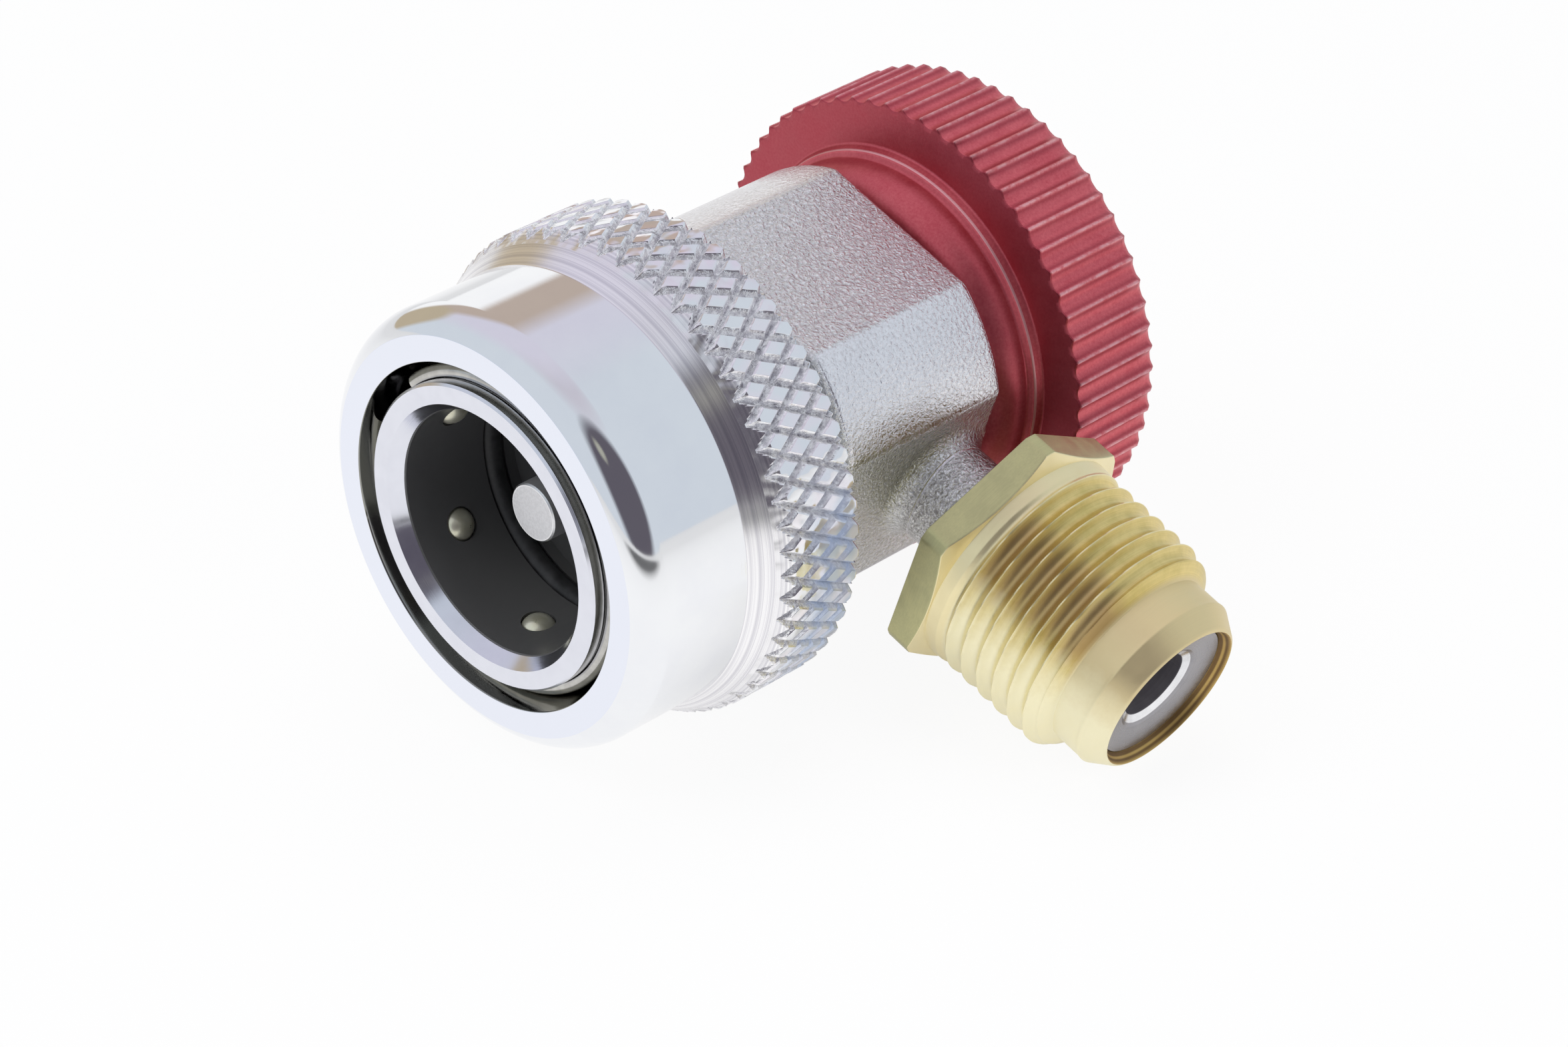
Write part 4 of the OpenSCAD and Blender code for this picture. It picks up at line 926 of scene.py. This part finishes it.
body = {
    "start": 19.4, "end": 33.3, "radius": 13.0, "flats": 22.9, "cornerSoft": 0.16, "edgeRound": 0.4, "edgeSteps": 5,
    "rowSpacing": 0.55, "rowCount": 24,
    "bossStart": 8.6, "bossRadius": 3.6, "bossEnd": 17.0, "bossFillet": 1.15, "bossRoom": 0.08,
    "stubRadius": 3.2, "stubEnd": 23.0,
    "chamberRadius": 4.0, "chamberStart": 23.6, "nozzleSeat": 8.05, "glandRadius": 8.05, "glandPlace": 31.2,
    "channelRadius": 1.5, "columns": 360, "bossColumns": 96, "crispFrom": 40,
}


def makeBody():
    b = body
    half = b["flats"] / 2

    # a round bar with four flats, its ridges softened as cast; an outer row says how far it lies inside
    def bodyRow(angle, row):
        radius, along, weight = row
        if weight == 0:
            return radius, along
        across, up = abs(math.cos(angle - dip)), abs(math.sin(angle - dip))
        flat = min(half / max(across, 1e-6), half / max(up, 1e-6))
        soft = b["cornerSoft"]
        ease = max(soft - abs(b["radius"] - flat), 0.0) / soft
        return min(b["radius"], flat) - ease * ease * soft / 4 - radius, along

    edge = b["edgeRound"]
    quarter = [math.radians(90 * step / b["edgeSteps"]) for step in range(b["edgeSteps"] + 1)]
    outer = [(edge - edge * math.sin(angle), b["start"] + edge - edge * math.cos(angle), 1) for angle in quarter]
    outer += [(0.0, b["start"] + edge + 0.3 + b["rowSpacing"] * number, 1) for number in range(b["rowCount"])]
    outer += [(edge - edge * math.cos(angle), b["end"] - edge + edge * math.sin(angle), 1) for angle in quarter]
    inner = [(b["glandRadius"] + 0.3, b["end"], 0), (b["glandRadius"], b["end"] - 0.3, 0),
             (b["glandRadius"], b["glandPlace"], 0), (b["chamberRadius"], b["glandPlace"], 0),
             (b["chamberRadius"], b["chamberStart"], 0), (b["nozzleSeat"], b["chamberStart"], 0),
             (b["nozzleSeat"], b["start"] + 0.2, 0), (b["nozzleSeat"] + 0.2, b["start"], 0)]
    piece = turnedSkin("valveBody", outer + inner, b["columns"], bodyRow)

    fillet = b["bossFillet"]
    foot = b["bossRadius"] + fillet
    boss = [(b["channelRadius"], b["bossStart"], 0, 0), (foot + 0.1, b["bossStart"], 0, 0),
            (foot + 0.1, half - 0.05, 0, 0)]
    boss += arcRows(foot, half + fillet - 0.01, fillet, 270, 180, 12)
    boss += [(b["bossRadius"], b["bossEnd"], 0, 0.15), (b["stubRadius"], b["bossEnd"], 0, 0),
             (b["stubRadius"], b["stubEnd"], 0, 0.15), (b["channelRadius"], b["stubEnd"], 0, 0.1)]
    bossPiece = turnedSkin("portBoss", softOutline(boss), b["bossColumns"])
    setOnPort(bossPiece)
    # the fillet stops short of the body's end face
    for vertex in bossPiece.data.vertices:
        vertex.co.x = min(vertex.co.x, (b["end"] - b["bossRoom"]) * mm)
    joint = piece.modifiers.new("bossJoint", "BOOLEAN")
    joint.operation = "UNION"
    joint.solver = "EXACT"
    joint.object = bossPiece
    bakeModifiers(piece)
    bpy.data.objects.remove(bossPiece)
    piece.data.materials.clear()
    piece.data.materials.append(castNickel)
    smoothFaces(piece.data)
    sharpen(piece, b["crispFrom"])
    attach(piece, "valve_body")
    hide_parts("valve_body")


makeBody()
print("body made")


spring = {"wire": 1.1, "turns": 5.5, "sides": 12, "stepsPerTurn": 48, "endRoom": 0.02, "crispFrom": 50}


# one wire wound round the main axis
def springTree():
    tree, start = newRuleTree("coilSpring", ["Turns", "Coil radius", "Wire radius", "Length", "Start"], False)
    coil = addNode(tree, "GeometryNodeCurveSpiral",
                   {"Resolution": spring["stepsPerTurn"], "Rotations": start["Turns"],
                    "Start Radius": start["Coil radius"], "End Radius": start["Coil radius"],
                    "Height": start["Length"], "Reverse": True})
    wire = addNode(tree, "GeometryNodeCurvePrimitiveCircle",
                   {"Resolution": spring["sides"], "Radius": start["Wire radius"]}, mode="RADIUS")
    tube = addNode(tree, "GeometryNodeCurveToMesh",
                   {"Curve": coil.outputs[0], "Profile Curve": wire.outputs[0], "Fill Caps": True})
    turned = addNode(tree, "GeometryNodeTransform",
                     {"Geometry": tube.outputs[0], "Translation": joinPoint(tree, start["Start"]),
                      "Rotation": (math.pi / 2, 0, math.pi / 2)})
    endRuleTree(tree, turned.outputs[0], start["Finish"])
    return tree


def makeSpring():
    low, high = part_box("sleeve_spring")
    length = high[0] - low[0]
    wireRadius = spring["wire"] / 2 * mm
    piece = newPiece("sleeveCoil", bpy.data.meshes.new("sleeveCoil"))
    applyRule(piece, springTree(), {
        "Turns": spring["turns"], "Coil radius": (high[2] - low[2]) / 2 - wireRadius, "Wire radius": wireRadius,
        "Length": length - 2 * wireRadius, "Start": low[0] + wireRadius, "Finish": springSteel})
    sharpen(piece, spring["crispFrom"])
    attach(piece, "valve_body")
    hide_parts("sleeve_spring")
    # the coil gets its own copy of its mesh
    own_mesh(piece)


makeSpring()
print("sleeve spring made")


finishes = {
    "nose_barrel": noseSteel, "nose_gasket": copperGasket, "socket_seal": sealRubber,
    "retaining_ring": ringSteel, "spring_seat": zincPlate, "gland_nut": turnedBrass, "gland_seal": sealRubber,
    "spindle_seal": sealRubber, "fitting_gasket": sealRubber, "outlet_insert": insertNickel,
    "insert_seal": sealRubber, "plunger": pinSteel, "swivel_clip": springSteel,
    "spindle": turnedBrass, "knob_washer": zincPlate, "knob_screw": zincPlate,
}
finishes.update({f"ball_{number}": ballSteel for number in range(1, 7)})
for nodeName, material in finishes.items():
    for slot in cadNodes[nodeName].material_slots:
        slot.material = material
print("frame pieces finished:", len(finishes))


studio = {
    "floorSize": 3.0, "floorPaint": (0.90, 0.90, 0.91), "floorRough": 0.9, "floorWhite": 0.93,
    # a mirrored floor: its level far from the object, close to it and where the onlooker stands
    "farFrom": 0.05, "farTo": 0.25, "farFloor": 0.80,
    "nearPlace": (0.034, -0.008, -0.016), "nearFrom": 0.012, "nearTo": 0.028, "nearFloor": 0.45,
    "darkPlace": (-0.12, -0.26, 0.0), "darkFrom": 0.13, "darkTo": 0.19, "darkFloor": 0.12,
    "sky": (0.66, 0.71, 0.77), "zenith": (0.60, 0.58, 0.65), "zenithFrom": 0.80, "zenithTo": 0.97, "ambient": 0.62,
    # patches of the room that bright metal mirrors: direction, half width and soft edge in degrees, colour
    "patches": [
        ((0.15, 0.55, 0.80), 34, 22, (0.68, 0.66, 0.76)),
        ((0.46, 0.80, 0.37), 24, 10, (0.52, 0.43, 0.37)),
        ((0.03, 0.98, 0.18), 17, 6, (0.52, 0.44, 0.32)),
        ((0.59, 0.81, 0.00), 20, 5, (1.0, 1.0, 1.0)),
        ((-0.38, -0.82, 0.43), 36, 9, (0.12, 0.11, 0.135)),
        ((-0.486, -0.541, 0.686), 5, 4, (0.42, 0.42, 0.36)),
    ],
    # soft lamps: place, size and power
    "lamps": {
        "softboxLeft": ((-0.35, 0.10, 0.45), 0.35, 1.3),
        "softboxFront": ((0.05, -0.55, 0.35), 0.30, 0.9),
        "softboxTop": ((0.10, 0.05, 0.60), 0.40, 1.2),
    },
    "lampAim": (0.02, -0.01, 0),
}


def mixShader(tree, share, first, second):
    return addNode(tree, "ShaderNodeMixShader", {0: share, 1: first, 2: second}).outputs[0]


def makeFloor():
    low = cadBox[0][2]
    half = studio["floorSize"] / 2
    data = bpy.data.meshes.new("benchFloor")
    data.from_pydata([(-half, -half, low), (half, -half, low), (half, half, low), (-half, half, low)], [],
                     [(0, 1, 2, 3)])
    floor = bpy.data.objects.new("benchFloor", data)
    bpy.context.scene.collection.objects.link(floor)
    material, tree, shader = newMaterial("paleFloor")
    setSockets(tree, shader, {"Base Color": (*studio["floorPaint"], 1), "Roughness": studio["floorRough"]})
    light = tree.nodes.new("ShaderNodeLightPath").outputs
    point = objectPoint(tree)
    away = vectorNode(tree, "LENGTH", point)["Value"]
    toDark = vectorNode(tree, "DISTANCE", point, studio["darkPlace"])["Value"]
    toNear = vectorNode(tree, "DISTANCE", point, studio["nearPlace"])["Value"]
    far = remap(tree, away, studio["farFrom"], studio["farTo"], 1.0, studio["farFloor"])
    dark = remap(tree, toDark, studio["darkFrom"], studio["darkTo"], studio["darkFloor"], 1.0)
    near = remap(tree, toNear, studio["nearFrom"], studio["nearTo"], studio["nearFloor"], 1.0)
    level = larger(tree, light["Is Camera Ray"], times(tree, far, dark))
    white = addNode(tree, "ShaderNodeEmission", {"Color": (1, 1, 1, 1), "Strength": level})
    # the camera, gloss and glass see the white floor, and the lamps light the painted one
    seenPlainly = larger(tree, light["Is Camera Ray"],
                         larger(tree, light["Is Glossy Ray"], light["Is Transmission Ray"]))
    seen = times(tree, seenPlainly, larger(tree, light["Is Camera Ray"], near), studio["floorWhite"])
    mix = mixShader(tree, seen, shader.outputs[0], white.outputs[0])
    tree.links.new(mix, tree.nodes["Material Output"].inputs[0])
    data.materials.append(material)


def makeWorld():
    world = bpy.data.worlds.new("softStudio")
    bpy.context.scene.world = world
    world.use_nodes = True
    tree = world.node_tree
    plain = tree.nodes["Background"]
    setSockets(tree, plain, {"Color": (1, 1, 1, 1), "Strength": 1.0})
    way = vectorNode(tree, "NORMALIZE", addNode(tree, "ShaderNodeTexCoord").outputs["Generated"])[0]
    height = splitPoint(tree, way)[2]
    colour = tint(tree, height, studio["zenithFrom"], studio["zenithTo"], studio["sky"], studio["zenith"])
    for place, halfWidth, softEdge, patchColour in studio["patches"]:
        facing = dotOf(tree, way, Vector(place).normalized())
        covered = remap(tree, facing, math.cos(math.radians(halfWidth + softEdge / 2)),
                        math.cos(math.radians(halfWidth - softEdge / 2)))
        colour = mixColour(tree, covered, colour, patchColour)
    around = addNode(tree, "ShaderNodeBackground", {"Color": colour, "Strength": studio["ambient"]})
    mirrored = addNode(tree, "ShaderNodeBackground", {"Color": colour, "Strength": 1.0})
    light = tree.nodes.new("ShaderNodeLightPath").outputs
    indirect = mixShader(tree, light["Is Glossy Ray"], around.outputs[0], mirrored.outputs[0])
    mix = mixShader(tree, light["Is Camera Ray"], indirect, plain.outputs[0])
    tree.links.new(mix, tree.nodes["World Output"].inputs[0])


def makeLamp(name, place, size, power):
    data = bpy.data.lights.new(name, "AREA")
    data.shape = "SQUARE"
    data.size = size
    data.energy = power
    lamp = bpy.data.objects.new(name, data)
    lamp.location = place
    lamp.rotation_mode = "QUATERNION"
    lamp.rotation_quaternion = (Vector(studio["lampAim"]) - Vector(place)).to_track_quat("-Z", "Y")
    lamp.visible_glossy = False
    bpy.context.scene.collection.objects.link(lamp)


makeFloor()
makeWorld()
for lampName, lampValues in studio["lamps"].items():
    makeLamp(lampName, *lampValues)
bpy.context.scene.view_settings.view_transform = "Standard"
print("studio made")
